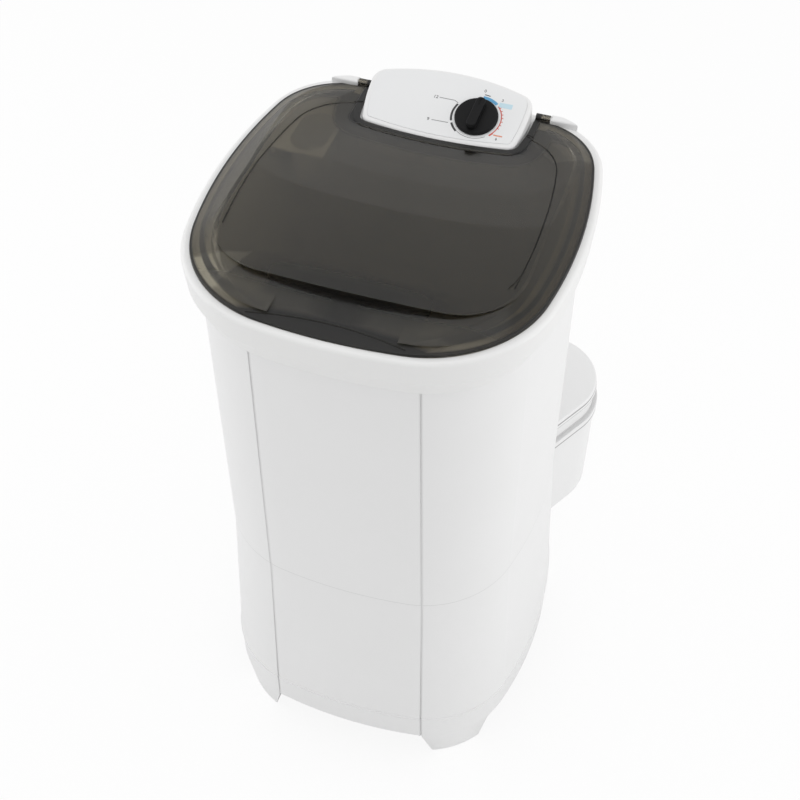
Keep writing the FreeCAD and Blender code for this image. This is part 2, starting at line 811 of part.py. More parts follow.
def make_knob():
    low = fascia_thick - fascia_sink + 0.6
    flange = turned([(0, low), (knob_radius, low), (knob_radius, knob_height - knob_bevel),
                     (knob_radius - knob_bevel, knob_height), (0, knob_height)])
    grip = block(-grip_width / 2, grip_width / 2, -grip_half, grip_half, knob_height - 1, grip_top)
    grip = grip.makeFillet(grip_round, [edge for edge in grip.Edges
                                        if abs(edge.Vertexes[0].Z - edge.Vertexes[1].Z) > 1])
    grip = soften(grip, grip_top, knob_bevel)
    mark = block(-0.9, 0.9, grip_half - 11, grip_half - 3, grip_top - 0.6, grip_top + 1)
    body = flange.fuse(grip).cut(mark).rotated(Vector(), UP, -grip_turn)
    body = body.cut(disc(timer_shaft, low - 1, shaft_top))
    return on_console(body.translated(Vector(knob_x, knob_up, 0)))


def make_timer_shaft():
    return on_console(disc(timer_shaft, -timer_depth * 0.5 - fascia_sink, shaft_top, knob_x, knob_up))


def make_timer():
    top = -console_wall - fascia_sink
    body = block(knob_x - timer_half, knob_x + timer_half, knob_up - timer_half, knob_up + timer_rear,
                 top - timer_depth, top)
    body = body.makeFillet(4.0, [edge for edge in body.Edges
                                 if abs(edge.Vertexes[0].Z - edge.Vertexes[1].Z) > 1])
    tags = [block(x - 3, x + 3, knob_up - 0.4, knob_up + 0.4, top - timer_depth - 6, top - timer_depth)
            for x in (knob_x - 12, knob_x - 4, knob_x + 4, knob_x + 12)]
    bore = disc(timer_shaft + running_gap, -timer_depth * 0.5 - fascia_sink - 0.3, top + 1, knob_x, knob_up)
    return on_console(all_of([body] + tags).cut(bore))


def make_console_screws():
    under = recess_floor - deck_plate
    screw = turned([(0, under - 3), (3.8, under - 3), (3.8, under), (screw_radius, under),
                    (screw_radius, deck_top + 8), (0, deck_top + 8)])
    return Part.makeCompound([screw.translated(Vector(x, y, 0)) for x, y in console_posts])


def make_soap_cup():
    mouth = grow(lid_plan, -mouth_inset - 1.2)
    top = cup_plate_z + cup_plate
    section = stack((mouth, cup_plate_z), (mouth, top)).common(cup_corner(cup_plate_z, top))
    bottom = cup_plate_z - cup_depth
    outer = Part.makeLoft([cup_plan(cup_radius - 5, bottom), cup_plan(cup_radius, top)], True, True)
    inner = Part.makeLoft([cup_plan(cup_radius - 5 - cup_wall, bottom + cup_wall),
                           cup_plan(cup_radius - cup_wall, top + 0.1)], True, True)
    outer = soften(outer, bottom, 8)
    inner = soften(inner, bottom + cup_wall, 6)
    body = section.fuse(outer).cut(inner)
    for y in (cup_front, (cup_front + cup_rear) / 2, cup_rear):
        body = body.cut(block(cup_x - 10, cup_x + 10, y - 2, y + 2, bottom - 1, bottom + cup_wall + 1))
    return body


def make_agitator():
    low = tub_floor + agitator_lift
    rim = agitator_radius
    plate = turned([(shaft_radius, low + 4), (20, low + 4), (24, low + 10), (34, low + 22), (rim - 12, low + 3),
                    (rim - 2, low), (rim, low), (rim, low + 5), (rim - 8, low + 8), (34, low + 27),
                    (26, low + 33), (shaft_radius, low + 33)])
    dome = turned([(28, low + 6), (rim - 4, low + 4), (rim - 8, low + 22), (rim - 24, low + 36),
                   (60, low + 44), (28, low + 34)])
    path = 150.0
    fins = []
    for i in range(fin_count):
        ring = tube(path + fin_width / 2, path - fin_width / 2, low, low + 60, 0, path)
        half = ring.common(block(0, 300, -20, 200, low, low + 70))
        fins.append(half.rotated(Vector(), UP, 360.0 / fin_count * i))
    body = plate.fuse(all_of(fins).common(dome))
    return body.translated(Vector(0, axis_y, 0))


def make_agitator_screw():
    top = tub_floor + agitator_lift + 33
    return turned([(0, top - 24), (3, top - 24), (3, top), (11, top), (11, top + 3), (8, top + 6),
                   (0, top + 6)], 0, axis_y)


def make_agitator_shaft():
    top = tub_floor + agitator_lift + 33
    body = disc(shaft_radius, belt_z - 22, top, 0, axis_y)
    return body.cut(disc(3, top - 24, top + 1, 0, axis_y))


def make_bearing_housing():
    under = tub_floor - tub_wall
    profile = [(bush_radius, housing_bottom), (housing_radius, housing_bottom), (housing_radius, under - 22),
               (housing_radius + 8, under - 6), (housing_flange, under - 6), (housing_flange, under),
               (spindle_neck, under), (spindle_neck, tub_floor + 2), (seal_radius, tub_floor + 2),
               (seal_radius, tub_floor - 8), (bush_radius, tub_floor - 8)]
    body = turned(profile, 0, axis_y)
    for x, y in housing_screws():
        body = body.cut(disc(2.2, under - 10, under + 1, x, y))
    return body


def housing_screws():
    return [(45 * math.cos(math.radians(90 * i)), axis_y + 45 * math.sin(math.radians(90 * i)))
            for i in range(4)]


def make_housing_screws():
    under = tub_floor - tub_wall
    screw = turned([(0, under - 9), (4, under - 9), (4, under - 6), (2, under - 6), (2, under - 0.2),
                    (0, under - 0.2)])
    return Part.makeCompound([screw.translated(Vector(x, y, 0)) for x, y in housing_screws()])


def make_bushes():
    inner = shaft_radius + running_gap
    low = housing_bottom + 2
    high = tub_floor - 10
    return Part.makeCompound([tube(bush_radius, inner, low, low + bush_length, 0, axis_y),
                              tube(bush_radius, inner, high - bush_length, high, 0, axis_y)])


def make_seal():
    low = tub_floor - 8
    lip = shaft_radius + running_gap
    return turned([(lip, low + 5), (lip + 1, low + 4), (seal_radius - 2, low + 1), (seal_radius - 2, low),
                   (seal_radius, low), (seal_radius, low + 8), (lip + 1.5, low + 8), (lip, low + 6)], 0, axis_y)


def sheave(pitch, hub, hub_low, hub_high, bore, web):
    """Pulley with a V groove for the belt, as (radius, z) points; web is the web's half thickness."""
    slope = math.tan(math.radians(groove_angle))
    outer = pitch + belt_thick / 2 + 1
    root = pitch - belt_thick / 2 - 1.5
    half = belt_half_width + belt_gap / math.cos(math.radians(groove_angle))
    at_outer = half + slope * (outer - pitch - belt_thick / 2)
    at_root = half - slope * (pitch + belt_thick / 2 - root)
    land = at_outer + 2.5
    inside = root - 4
    lower = [(bore, hub_low), (hub, hub_low)]
    upper = [(hub, hub_high), (bore, hub_high)]
    if inside > hub + 5:
        lower += [(hub, belt_z - web), (inside, belt_z - web)]
        upper = [(inside, belt_z + web), (hub, belt_z + web)] + upper
    lower += [(inside, belt_z - land), (outer, belt_z - land), (outer, belt_z - at_outer),
              (root, belt_z - at_root)]
    upper = [(root, belt_z + at_root), (outer, belt_z + at_outer), (outer, belt_z + land),
             (inside, belt_z + land)] + upper
    return lower + upper


def make_driven_pulley():
    body = turned(sheave(driven_radius, 18, belt_z - 12, belt_z + 20, shaft_radius, 3.5), 0, axis_y)
    for i in range(5):
        turn = math.radians(72 * i)
        body = body.cut(disc(15, belt_z - 20, belt_z + 20, 48 * math.cos(turn), axis_y + 48 * math.sin(turn)))
    return body


def make_pulley_nut():
    return hexagon(20, belt_z - 21, belt_z - 12, 0, axis_y).cut(disc(shaft_radius, 0, 400, 0, axis_y))


def make_motor_pulley():
    return turned(sheave(drive_radius, 12, belt_z - 13, belt_z + 10, motor_shaft, 3.5), motor_x, motor_y)


def make_belt():
    """V-belt round both pulleys, along two arcs and two straight runs, with slanting sides."""
    centre_a = Vector(0, axis_y, 0)
    centre_b = motor_centre
    apart = (centre_b - centre_a).Length
    lean = math.degrees(math.asin((driven_radius - drive_radius) / apart))
    slope = math.tan(math.radians(groove_angle))

    def loop(offset, z):
        lift = Vector(0, 0, z)
        big = driven_radius + offset
        small = drive_radius + offset
        turn = 90 - lean
        a0 = around(centre_a, big, turn) + lift
        a1 = around(centre_a, big, 180) + lift
        a2 = around(centre_a, big, -turn) + lift
        b0 = around(centre_b, small, -turn) + lift
        b1 = around(centre_b, small, 0) + lift
        b2 = around(centre_b, small, turn) + lift
        return Part.Wire([Part.Arc(a0, a1, a2).toShape(), Part.makeLine(a2, b0),
                          Part.Arc(b0, b1, b2).toShape(), Part.makeLine(b2, a0)])

    half_thick = belt_thick / 2
    inner_half = belt_half_width - slope * belt_thick
    outside = Part.Face(loop(half_thick, belt_z - belt_half_width)).extrude(Vector(0, 0, 2 * belt_half_width))
    waist = Part.makeLoft([loop(-half_thick, belt_z - inner_half), loop(-half_thick, belt_z + inner_half)],
                          True, True)
    below = Part.makeLoft([loop(half_thick, belt_z - belt_half_width), loop(-half_thick, belt_z - inner_half)],
                          True, True)
    above = Part.makeLoft([loop(-half_thick, belt_z + inner_half), loop(half_thick, belt_z + belt_half_width)],
                          True, True)
    return outside.cut(waist).cut(below).cut(above)


def make_pot():
    low = pot_radius - pot_taper
    outer = soften(arm_stack((low, pot_bottom), (pot_radius, pot_top)), pot_bottom, pot_round)
    inner = arm_stack((low - tower_wall, pot_bottom + tower_wall),
                      (pot_radius - tower_wall, pot_top + 0.5))
    inner = soften(inner, pot_bottom + tower_wall, pot_round - tower_wall)
    posts = [disc(post_radius, pot_bottom + 1, plate_z, point.x, point.y) for point in post_places()]
    body = all_of([outer.cut(inner)] + posts)
    for point in post_places():
        body = body.cut(disc(screw_radius, plate_z - 14, plate_z + 1, point.x, point.y))
    return body.cut(base_outer(seat_gap))


def post_places():
    return [around(motor_centre, post_ring, angle) for angle in (0, 112, -112)]


def bolt_places():
    return [around(motor_centre, stator_radius + 5, angle) for angle in (56, -56, 168, -168)]


def make_vent_ring():
    """Collar on the pot and the neck below the cap; dark joint gaps separate it from both."""
    collar = arm_stack((collar_radius, collar_bottom), (collar_radius, collar_top))
    collar = soften(soften(collar, collar_top, 1.5), collar_bottom, 1.5)
    neck = arm_stack((neck_radius, collar_top - 1), (neck_radius, cap_bottom - joint_gap))
    throat_radius = cap_radius - joint_depth
    throat = arm_stack((throat_radius, cap_bottom - joint_gap - 1), (throat_radius, cap_top - tower_wall))
    sleeve = pot_radius - tower_wall - seat_gap
    root = arm_stack((sleeve, pot_top - 8), (sleeve, collar_bottom + 1))
    bore = throat_radius - tower_wall
    hollow = arm_stack((bore, pot_top - 9), (bore, cap_top))
    body = all_of([collar, neck, throat, root]).cut(hollow)
    slots = []
    for i in range(vent_count):
        angle = vent_first + (vent_last - vent_first) * i / (vent_count - 1)
        heading = math.degrees(math.atan2(arm.y, arm.x)) + angle
        slot = block(bore - 4, collar_radius, -vent_width / 2, vent_width / 2,
                     collar_top + vent_margin, cap_bottom - joint_gap - vent_margin)
        slots.append(slot.rotated(Vector(), UP, heading).translated(motor_centre))
    return body.cut(Part.makeCompound(slots)).cut(base_outer(seat_gap))


def make_cap():
    outer = soften(arm_stack((cap_radius, cap_bottom), (cap_radius - 1.6, cap_top)), cap_top, cap_round)
    seat = cap_radius - joint_depth + 0.3
    inner = arm_stack((seat, cap_bottom - 1), (seat, cap_top - tower_wall))
    return outer.cut(inner).cut(base_outer(seat_gap))


def make_motor_plate():
    body = disc(plate_radius, plate_z, plate_z + plate_thick, motor_x, motor_y)
    body = body.cut(disc(motor_shaft + 14, plate_z - 1, plate_z + 9, motor_x, motor_y))
    for point in post_places():
        body = body.cut(disc(screw_radius + 0.2, plate_z - 1, plate_z + 9, point.x, point.y))
    for point in bolt_places():
        body = body.cut(disc(2.7, plate_z - 1, plate_z + 9, point.x, point.y))
    return body


def make_motor_screws():
    top = plate_z + plate_thick
    screw = turned([(0, plate_z - 13), (screw_radius, plate_z - 13), (screw_radius, top), (3.6, top),
                    (3.6, top + 2.5), (0, top + 2.5)])
    bolt = hexagon(8, plate_z - 3.5, plate_z).fuse(disc(2.5, plate_z - 1, top + 8))
    bolt = bolt.fuse(hexagon(8, top + 3, top + 6.5))
    pieces = [screw.translated(point) for point in post_places()]
    return Part.makeCompound(pieces + [bolt.translated(point) for point in bolt_places()])


def make_motor_bells():
    low = plate_z + plate_thick
    bore = motor_shaft + running_gap
    foot = stator_radius + 9
    r = stator_radius
    lower = turned([(bore, low), (foot, low), (foot, low + 3), (r - 6, low + 3), (r, low + 10),
                    (r, stator_bottom), (r - 3, stator_bottom), (r - 3, low + 12), (r - 8, low + 6),
                    (12, low + 4), (12, low + 15), (bore, low + 15)], motor_x, motor_y)
    for point in post_places():
        lower = lower.cut(disc(8, low - 1, low + 9, point.x, point.y))
    for point in bolt_places():
        lower = lower.cut(disc(2.7, low - 1, low + 9, point.x, point.y))
    top = stator_top + 25
    upper = turned([(bore, top), (r - 18, top), (r, top - 12), (r, stator_top), (r - 3, stator_top),
                    (r - 3, top - 14), (r - 19, top - 3.5), (12, top - 3.5), (12, top - 15), (bore, top - 15)],
                   motor_x, motor_y)
    for i in range(6):
        hole = disc(5, top - 10, top + 2, 28, 0).rotated(Vector(), UP, 60 * i)
        upper = upper.cut(hole.translated(motor_centre))
    return Part.makeCompound([lower, upper])


def make_stator():
    return tube(stator_radius, stator_bore, stator_bottom, stator_top, motor_x, motor_y)


def make_windings():
    inner = stator_bore + 4
    outer = stator_radius - 6
    rings = []
    for low, high in ((stator_bottom - 9, stator_bottom), (stator_top, stator_top + 9)):
        ring = tube(outer, inner, low, high, motor_x, motor_y)
        rings.append(soften(ring, low if low < stator_bottom else high, 3))
    return Part.makeCompound(rings)


def make_rotor():
    body = disc(stator_bore - air_gap, stator_bottom - 1, stator_top + 1, motor_x, motor_y)
    return body.fuse(disc(motor_shaft, belt_z - 14, fan_z + 12, motor_x, motor_y))


def make_fan():
    hub = tube(9, motor_shaft, fan_z, fan_z + 11)
    plate = tube(24, motor_shaft, fan_z, fan_z + 2)
    blades = [block(8, fan_radius, -0.9, 0.9, fan_z, fan_z + 10).rotated(Vector(), UP, 45 * i)
              for i in range(8)]
    blades = [blade.cut(disc(motor_shaft, 0, 500)) for blade in blades]
    return all_of([hub, plate] + blades).translated(motor_centre)


def make_capacitor():
    x, y = capacitor_at
    body = turned([(0, capacitor_low), (capacitor_radius - 1.5, capacitor_low),
                   (capacitor_radius, capacitor_low + 1.5), (capacitor_radius, capacitor_high - 1.5),
                   (capacitor_radius - 1.5, capacitor_high), (0, capacitor_high)], x, y)
    tags = [block(x + side * 6 - 3, x + side * 6 + 3, y - 0.4, y + 0.4, capacitor_low - 6, capacitor_low + 1)
            for side in (-1, 1)]
    return all_of([body] + tags)


def make_capacitor_clip():
    x, y = capacitor_at
    mid = (capacitor_low + capacitor_high) / 2
    band = tube(capacitor_radius + 2, capacitor_radius + 0.05, mid - 8, mid + 8, x, y)
    tab = block(x - 9, x + 9, y + capacitor_radius + 0.5, y + 60, mid - 8, mid + 8)
    wall = grow(cabinet_plan(mid), -base_wall - seat_gap)
    return band.fuse(tab.common(stack((wall, mid - 20), (wall, mid + 20))))


def make_strainer():
    body = turned([(0, tub_floor), (drain_radius + 5, tub_floor), (drain_radius + 3, tub_floor + 2.5),
                   (0, tub_floor + 2.5)], drain_x, drain_y)
    sleeve = tube(drain_radius + 0.6, drain_radius - 1.6, tub_floor - 2.8, tub_floor + 1, drain_x, drain_y)
    body = body.fuse(sleeve)
    for i in range(-2, 3):
        half = math.sqrt((drain_radius - 3) ** 2 - (5 * i) ** 2)
        body = body.cut(block(drain_x + 5 * i - 1.3, drain_x + 5 * i + 1.3, drain_y - half, drain_y + half,
                              tub_floor - 1, tub_floor + 5))
    return body


def drain_wall():
    return back_face_y(cabinet_plan(drain_z), drain_x)


def make_drain_pipe():
    under = tub_floor - tub_wall
    start = Vector(drain_x, drain_y, under)
    turn_top = Vector(drain_x, drain_y, drain_z + drain_bend)
    turn_out = Vector(drain_x, drain_y + drain_bend, drain_z)
    root = 0.5 ** 0.5
    middle = Vector(drain_x, drain_y + drain_bend * (1 - root), drain_z + drain_bend * (1 - root))
    end = Vector(drain_x, drain_wall() + 6, drain_z)
    closed = end - Vector(0, 3, 0)
    tip = end + Vector(0, spigot_length, 0)

    def run(radius, extra, stop):
        bend = Part.Wire([Part.makeLine(start + Vector(0, 0, extra), turn_top),
                          Part.Arc(turn_top, middle, turn_out).toShape(), Part.makeLine(turn_out, stop)])
        ring = Part.Wire([Part.makeCircle(radius, start + Vector(0, 0, extra), UP)])
        return bend.makePipeShell([ring], True, False)

    flange = disc(drain_radius + 12, under - 3, under, drain_x, drain_y)
    outer = all_of([run(drain_radius, 0, end), flange, rod(spigot_radius, closed, tip)])
    outer = outer.cut(run(drain_bore, 1, closed))
    return outer.cut(rod(spigot_radius - 2.2, closed - Vector(0, 1, 0), tip + Vector(0, 1, 0)))


def make_drain_grommet():
    wall = drain_wall()
    outside = wall + 5
    inside = wall - base_wall - 1.5
    collar = rod(drain_radius + 7, Vector(drain_x, inside, drain_z), Vector(drain_x, outside, drain_z))
    body = rod(drain_radius + 2.8, Vector(drain_x, inside, drain_z), Vector(drain_x, outside, drain_z))
    body = body.fuse(collar.cut(base_outer(seat_gap)))
    bore = rod(drain_radius, Vector(drain_x, inside - 1, drain_z), Vector(drain_x, outside + 9, drain_z))
    return body.cut(bore)


def make_cord_gland():
    wall = back_face_y(cabinet_plan(gland_z), gland_x)
    start = Vector(gland_x, wall - base_wall - 8, gland_z)
    face = Vector(gland_x, wall + 0.9, gland_z)
    end = face + Vector(0, 5, 0)
    body = rod(gland_radius, start, face).fuse(rod(gland_radius + 4, face, end))
    nut = rod(gland_radius + 3, start + Vector(0, 2, 0), start + Vector(0, 7, 0))
    return body.fuse(nut).cut(rod(gland_bore, start - Vector(0, 1, 0), end + Vector(0, 1, 0)))


def make_hose_clip():
    wall = back_face_y(top_plan, drain_x)
    plate = block(drain_x - 16, drain_x + 16, wall - 4, wall + clip_wall + 2, clip_z - 30, clip_z + 30)
    plate = plate.makeFillet(1.2, [edge for edge in plate.Edges if edge.Vertexes[0].Y > wall
                                   and edge.Vertexes[1].Y > wall])
    plate = plate.cut(cabinet_outer(seat_gap))
    centre = wall + clip_wall + clip_bore + 3
    hoop = tube(clip_bore + clip_wall, clip_bore, clip_z - 12, clip_z + 12, drain_x, centre)
    mouth = block(drain_x - 11, drain_x + 11, centre, centre + 40, clip_z - 20, clip_z + 20)
    return plate.fuse(hoop).cut(mouth)


PARTS = {
    "wash_tub": make_tub,
    "upper_cabinet": make_cabinet,
    "base": make_base,
    "foot_pads": make_foot_pads,
    "lid": make_lid,
    "hinge_pins": make_hinge_pins,
    "hinge_blocks": make_hinge_blocks,
    "console": make_console,
    "fascia": make_fascia,
    "knob": make_knob,
    "timer_shaft": make_timer_shaft,
    "timer": make_timer,
    "console_screws": make_console_screws,
    "soap_cup": make_soap_cup,
    "agitator": make_agitator,
    "agitator_screw": make_agitator_screw,
    "agitator_shaft": make_agitator_shaft,
    "bearing_housing": make_bearing_housing,
    "housing_screws": make_housing_screws,
    "bearing_bushes": make_bushes,
    "shaft_seal": make_seal,
    "driven_pulley": make_driven_pulley,
    "pulley_nut": make_pulley_nut,
    "motor_pulley": make_motor_pulley,
    "drive_belt": make_belt,
    "tower_pot": make_pot,
    "vent_ring": make_vent_ring,
    "tower_cap": make_cap,
    "motor_plate": make_motor_plate,
    "motor_screws": make_motor_screws,
    "motor_bells": make_motor_bells,
    "motor_stator": make_stator,
    "motor_windings": make_windings,
    "rotor": make_rotor,
    "motor_fan": make_fan,
    "capacitor": make_capacitor,
    "capacitor_clip": make_capacitor_clip,
    "drain_strainer": make_strainer,
    "drain_pipe": make_drain_pipe,
    "drain_grommet": make_drain_grommet,
    "cord_gland": make_cord_gland,
    "hose_clip": make_hose_clip,
}

os.makedirs("parts", exist_ok=True)
for node, make in PARTS.items():
    make().translated(to_origin).exportStep("parts/" + node + ".step")
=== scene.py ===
"""Looks of a semi-automatic washing machine: finishes for its solids, the dial print, studio and camera."""

import logging
import math
from dataclasses import dataclass
from enum import Enum
from typing import Protocol

import bpy
import bmesh
import numpy as np
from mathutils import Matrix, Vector


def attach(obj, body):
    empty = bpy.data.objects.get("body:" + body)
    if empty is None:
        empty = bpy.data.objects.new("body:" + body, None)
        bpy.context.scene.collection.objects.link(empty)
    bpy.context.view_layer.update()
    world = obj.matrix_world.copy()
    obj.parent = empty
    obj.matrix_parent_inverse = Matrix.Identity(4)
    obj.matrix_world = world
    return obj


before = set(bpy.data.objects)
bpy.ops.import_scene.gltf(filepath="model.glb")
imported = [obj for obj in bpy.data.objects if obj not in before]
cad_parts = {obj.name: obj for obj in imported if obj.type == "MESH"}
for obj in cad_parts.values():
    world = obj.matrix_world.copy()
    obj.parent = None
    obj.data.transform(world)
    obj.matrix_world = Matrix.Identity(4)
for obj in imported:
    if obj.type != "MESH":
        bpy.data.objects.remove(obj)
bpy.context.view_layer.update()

LOG = logging.getLogger("washing_machine")
MM = 0.001
Colour = tuple[float, float, float]
Point = tuple[float, float, float]
Pair = tuple[float, float]
Span = tuple[float, float]
Node = bpy.types.Node
Socket = bpy.types.NodeSocket
Material = bpy.types.Material
Value = Socket | float
Tone = Socket | Colour

VECTOR, NUMBER, TINT = "NodeSocketVector", "NodeSocketFloat", "NodeSocketColor"
MIX_FIRST, MIX_SECOND, MIX_RESULT = 6, 7, 2
GLOSS_SPAN: Span = (0.3, 0.7)
PLAIN_WHITE = (1.0, 1.0, 1.0, 1.0)
HOUR = math.pi / 6
STRIP_SIDES = np.array([-1, 1, 1, -1])
STRIP_LEVELS = np.array([-1, -1, 1, 1])
CABINET_MIDDLE: Point = (-0.0028, -0.0026, 0.0)
MOTOR_AXIS: Point = (0.1322, 0.1924, 0.2)


def put(name: str, data: bpy.types.ID) -> bpy.types.Object:
    """Make an object of some data and link it to the scene."""
    thing = bpy.data.objects.new(name, data)
    bpy.context.scene.collection.objects.link(thing)
    return thing


class Lay(Enum):
    """How a metal's surface was worked."""

    TURNED = "turned"
    STACKED = "stacked"
    CAST = "cast"
    SPANGLED = "spangled"


class Bench:
    """Places and joins the nodes of one node tree."""

    def __init__(self, tree: bpy.types.NodeTree) -> None:
        """Start from an empty tree."""
        self.tree = tree
        tree.nodes.clear()

    def add(self, kind: str, **settings: object) -> Node:
        """Add one node.

        Args:
            kind: The node's type without its leading "ShaderNode" or "Node".
            settings: Properties of the node to set.

        Returns:
            The new node.
        """
        prefix = "Node" if kind.startswith("Group") and kind != "Group" else "ShaderNode"
        node = self.tree.nodes.new(prefix + kind)
        for name, value in settings.items():
            setattr(node, name, value)
        return node

    def join(self, source: Socket, target: Socket) -> None:
        """Link an output to an input."""
        self.tree.links.new(source, target)

    def feed(self, socket: Socket, value: Value) -> None:
        """Link a socket to an input, or set the input to a plain number."""
        if isinstance(value, Socket):
            self.join(value, socket)
        else:
            socket.default_value = value

    def math(self, operation: str, *values: Value) -> Socket:
        """Work out one value.

        Args:
            operation: Name of the Math node's operation.
            values: Sockets or plain numbers, in the node's order.

        Returns:
            The result's socket.
        """
        node = self.add("Math", operation=operation)
        for socket, value in zip(node.inputs, values):
            self.feed(socket, value)
        return node.outputs[0]

    def fold(self, operation: str, first: Value, *others: Value) -> Value:
        """Work out one value from several, two at a time, such as their product."""
        for other in others:
            first = self.math(operation, first, other)
        return first

    @staticmethod
    def fill(node: Node, values: dict[str, object]) -> None:
        """Set plain values on a node's inputs, by name."""
        for name, value in values.items():
            node.inputs[name].default_value = value

    def ramp(self, value: Socket, span: Span, low: float, high: float, smooth: bool = True) -> Socket:
        """Map a value's span to low..high, held at both ends.

        Args:
            value: The value's socket.
            span: Where the ramp starts and ends.
            low: Result at the start.
            high: Result at the end.
            smooth: True for an S-shaped ramp.

        Returns:
            The result's socket.
        """
        node = self.add("MapRange", interpolation_type="SMOOTHSTEP" if smooth else "LINEAR")
        self.fill(node, {"From Min": span[0], "From Max": span[1], "To Min": low, "To Max": high})
        self.join(value, node.inputs["Value"])
        return node.outputs["Result"]

    def blend(self, mask: Socket, first: Tone, second: Tone) -> Socket:
        """Mix two colours by a mask.

        Args:
            mask: 0 for the first colour, 1 for the second.
            first: A socket or a plain colour.
            second: A socket or a plain colour.

        Returns:
            The mixed colour's socket.
        """
        node = self.add("Mix", data_type="RGBA")
        self.join(mask, node.inputs[0])
        for index, tone in ((MIX_FIRST, first), (MIX_SECOND, second)):
            self.feed(node.inputs[index], tone if isinstance(tone, Socket) else (*tone, 1.0))
        return node.outputs[MIX_RESULT]

    def texture(self, kind: str, spot: Socket, scale: Value,
                settings: dict[str, str] | None = None, **values: float) -> Node:
        """Add a texture.

        Args:
            kind: The node's type without its leading "ShaderNodeTex".
            spot: The place that it is read at.
            scale: Its scale per metre.
            settings: Properties of the node to set.
            values: Values of its inputs, by name.

        Returns:
            The texture's node.
        """
        node = self.add("Tex" + kind, **(settings or {}))
        self.join(spot, node.inputs["Vector"])
        self.feed(node.inputs["Scale"], scale)
        self.fill(node, values)
        return node

    def choose(self, mask: Value, first: Node, second: Node, sink: str) -> None:
        """Send two shaders to the output, mixed by a mask.

        Args:
            mask: 0 for the first shader, 1 for the second.
            first: A shader's node.
            second: A shader's node.
            sink: Type of the output's node.
        """
        mix = self.add("MixShader")
        self.feed(mix.inputs[0], mask)
        self.join(first.outputs[0], mix.inputs[1])
        self.join(second.outputs[0], mix.inputs[2])
        self.join(mix.outputs[0], self.add(sink).inputs["Surface"])


class EffectGroups:
    """The surface effects that several finishes share, each a node group that is built once."""

    fine_detail = 4.0
    cell_share = 0.5
    patch_share = 0.025
    patch_detail = 2.0
    cloud_detail = 5.0
    cloud_span: Span = (0.4, 0.72)
    line_bend = 0.6
    line_detail = 2.0

    def __init__(self) -> None:
        """Build the three groups."""
        self.grain = self.make_grain()
        self.film = self.make_film()
        self.lines = self.make_lines()

    @staticmethod
    def blank(name: str, inputs: dict[str, str], outputs: dict[str, str]) -> tuple[bpy.types.NodeTree, Bench]:
        """Make an empty group.

        Args:
            name: The group's name.
            inputs: Input names and socket types.
            outputs: Output names and socket types.

        Returns:
            The group and its bench.
        """
        tree = bpy.data.node_groups.new(name, "ShaderNodeTree")
        for side, sockets in (("INPUT", inputs), ("OUTPUT", outputs)):
            for label, kind in sockets.items():
                tree.interface.new_socket(name=label, in_out=side, socket_type=kind)
        return tree, Bench(tree)

    def make_grain(self) -> bpy.types.NodeTree:
        """Mould grain, fine noise plus cell distance, and patches of gloss, a noise 40 times as wide."""
        tree, bench = self.blank("mould_grain", {"Vector": VECTOR, "Scale": NUMBER},
                                 {"Height": NUMBER, "Patches": NUMBER})
        source, sink = bench.add("GroupInput").outputs, bench.add("GroupOutput").inputs
        spot, scale = source["Vector"], source["Scale"]
        fine = bench.texture("Noise", spot, scale, Detail=self.fine_detail)
        cells = bench.texture("Voronoi", spot, scale)
        wide = bench.math("MULTIPLY", scale, self.patch_share)
        patches = bench.texture("Noise", spot, wide, Detail=self.patch_detail)
        height = bench.math("MULTIPLY_ADD", cells.outputs["Distance"], self.cell_share, fine.outputs["Fac"])
        bench.join(height, sink["Height"])
        bench.join(patches.outputs["Fac"], sink["Patches"])
        return tree

    def make_film(self) -> bpy.types.NodeTree:
        """A thin uneven film over a clean colour: the film shows where a cloudy noise is high."""
        tree, bench = self.blank("handling_film", {"Vector": VECTOR, "Clean": TINT, "Film": TINT,
                                                   "Scale": NUMBER, "Amount": NUMBER},
                                 {"Colour": TINT, "Mask": NUMBER})
        source, sink = bench.add("GroupInput").outputs, bench.add("GroupOutput").inputs
        cloud = bench.texture("Noise", source["Vector"], source["Scale"], Detail=self.cloud_detail)
        shape = bench.ramp(cloud.outputs["Fac"], self.cloud_span, 0.0, 1.0)
        dose = bench.math("MULTIPLY", shape, source["Amount"])
        bench.join(bench.blend(dose, source["Clean"], source["Film"]), sink["Colour"])
        bench.join(shape, sink["Mask"])
        return tree

    def make_lines(self) -> bpy.types.NodeTree:
        """Fine level lines across Z, slightly uneven: a band wave, bent a little by noise."""
        tree, bench = self.blank("level_lines", {"Vector": VECTOR, "Scale": NUMBER}, {"Height": NUMBER})
        source, sink = bench.add("GroupInput").outputs, bench.add("GroupOutput").inputs
        wave = bench.texture("Wave", source["Vector"], source["Scale"],
                             {"wave_type": "BANDS", "bands_direction": "Z"},
                             Distortion=self.line_bend, Detail=self.line_detail)
        bench.join(wave.outputs["Fac"], sink["Height"])
        return tree


EFFECTS = EffectGroups()


class Finish(Protocol):
    """Anything that makes one material."""

    name: str

    def make(self) -> Material:
        """Build the material."""


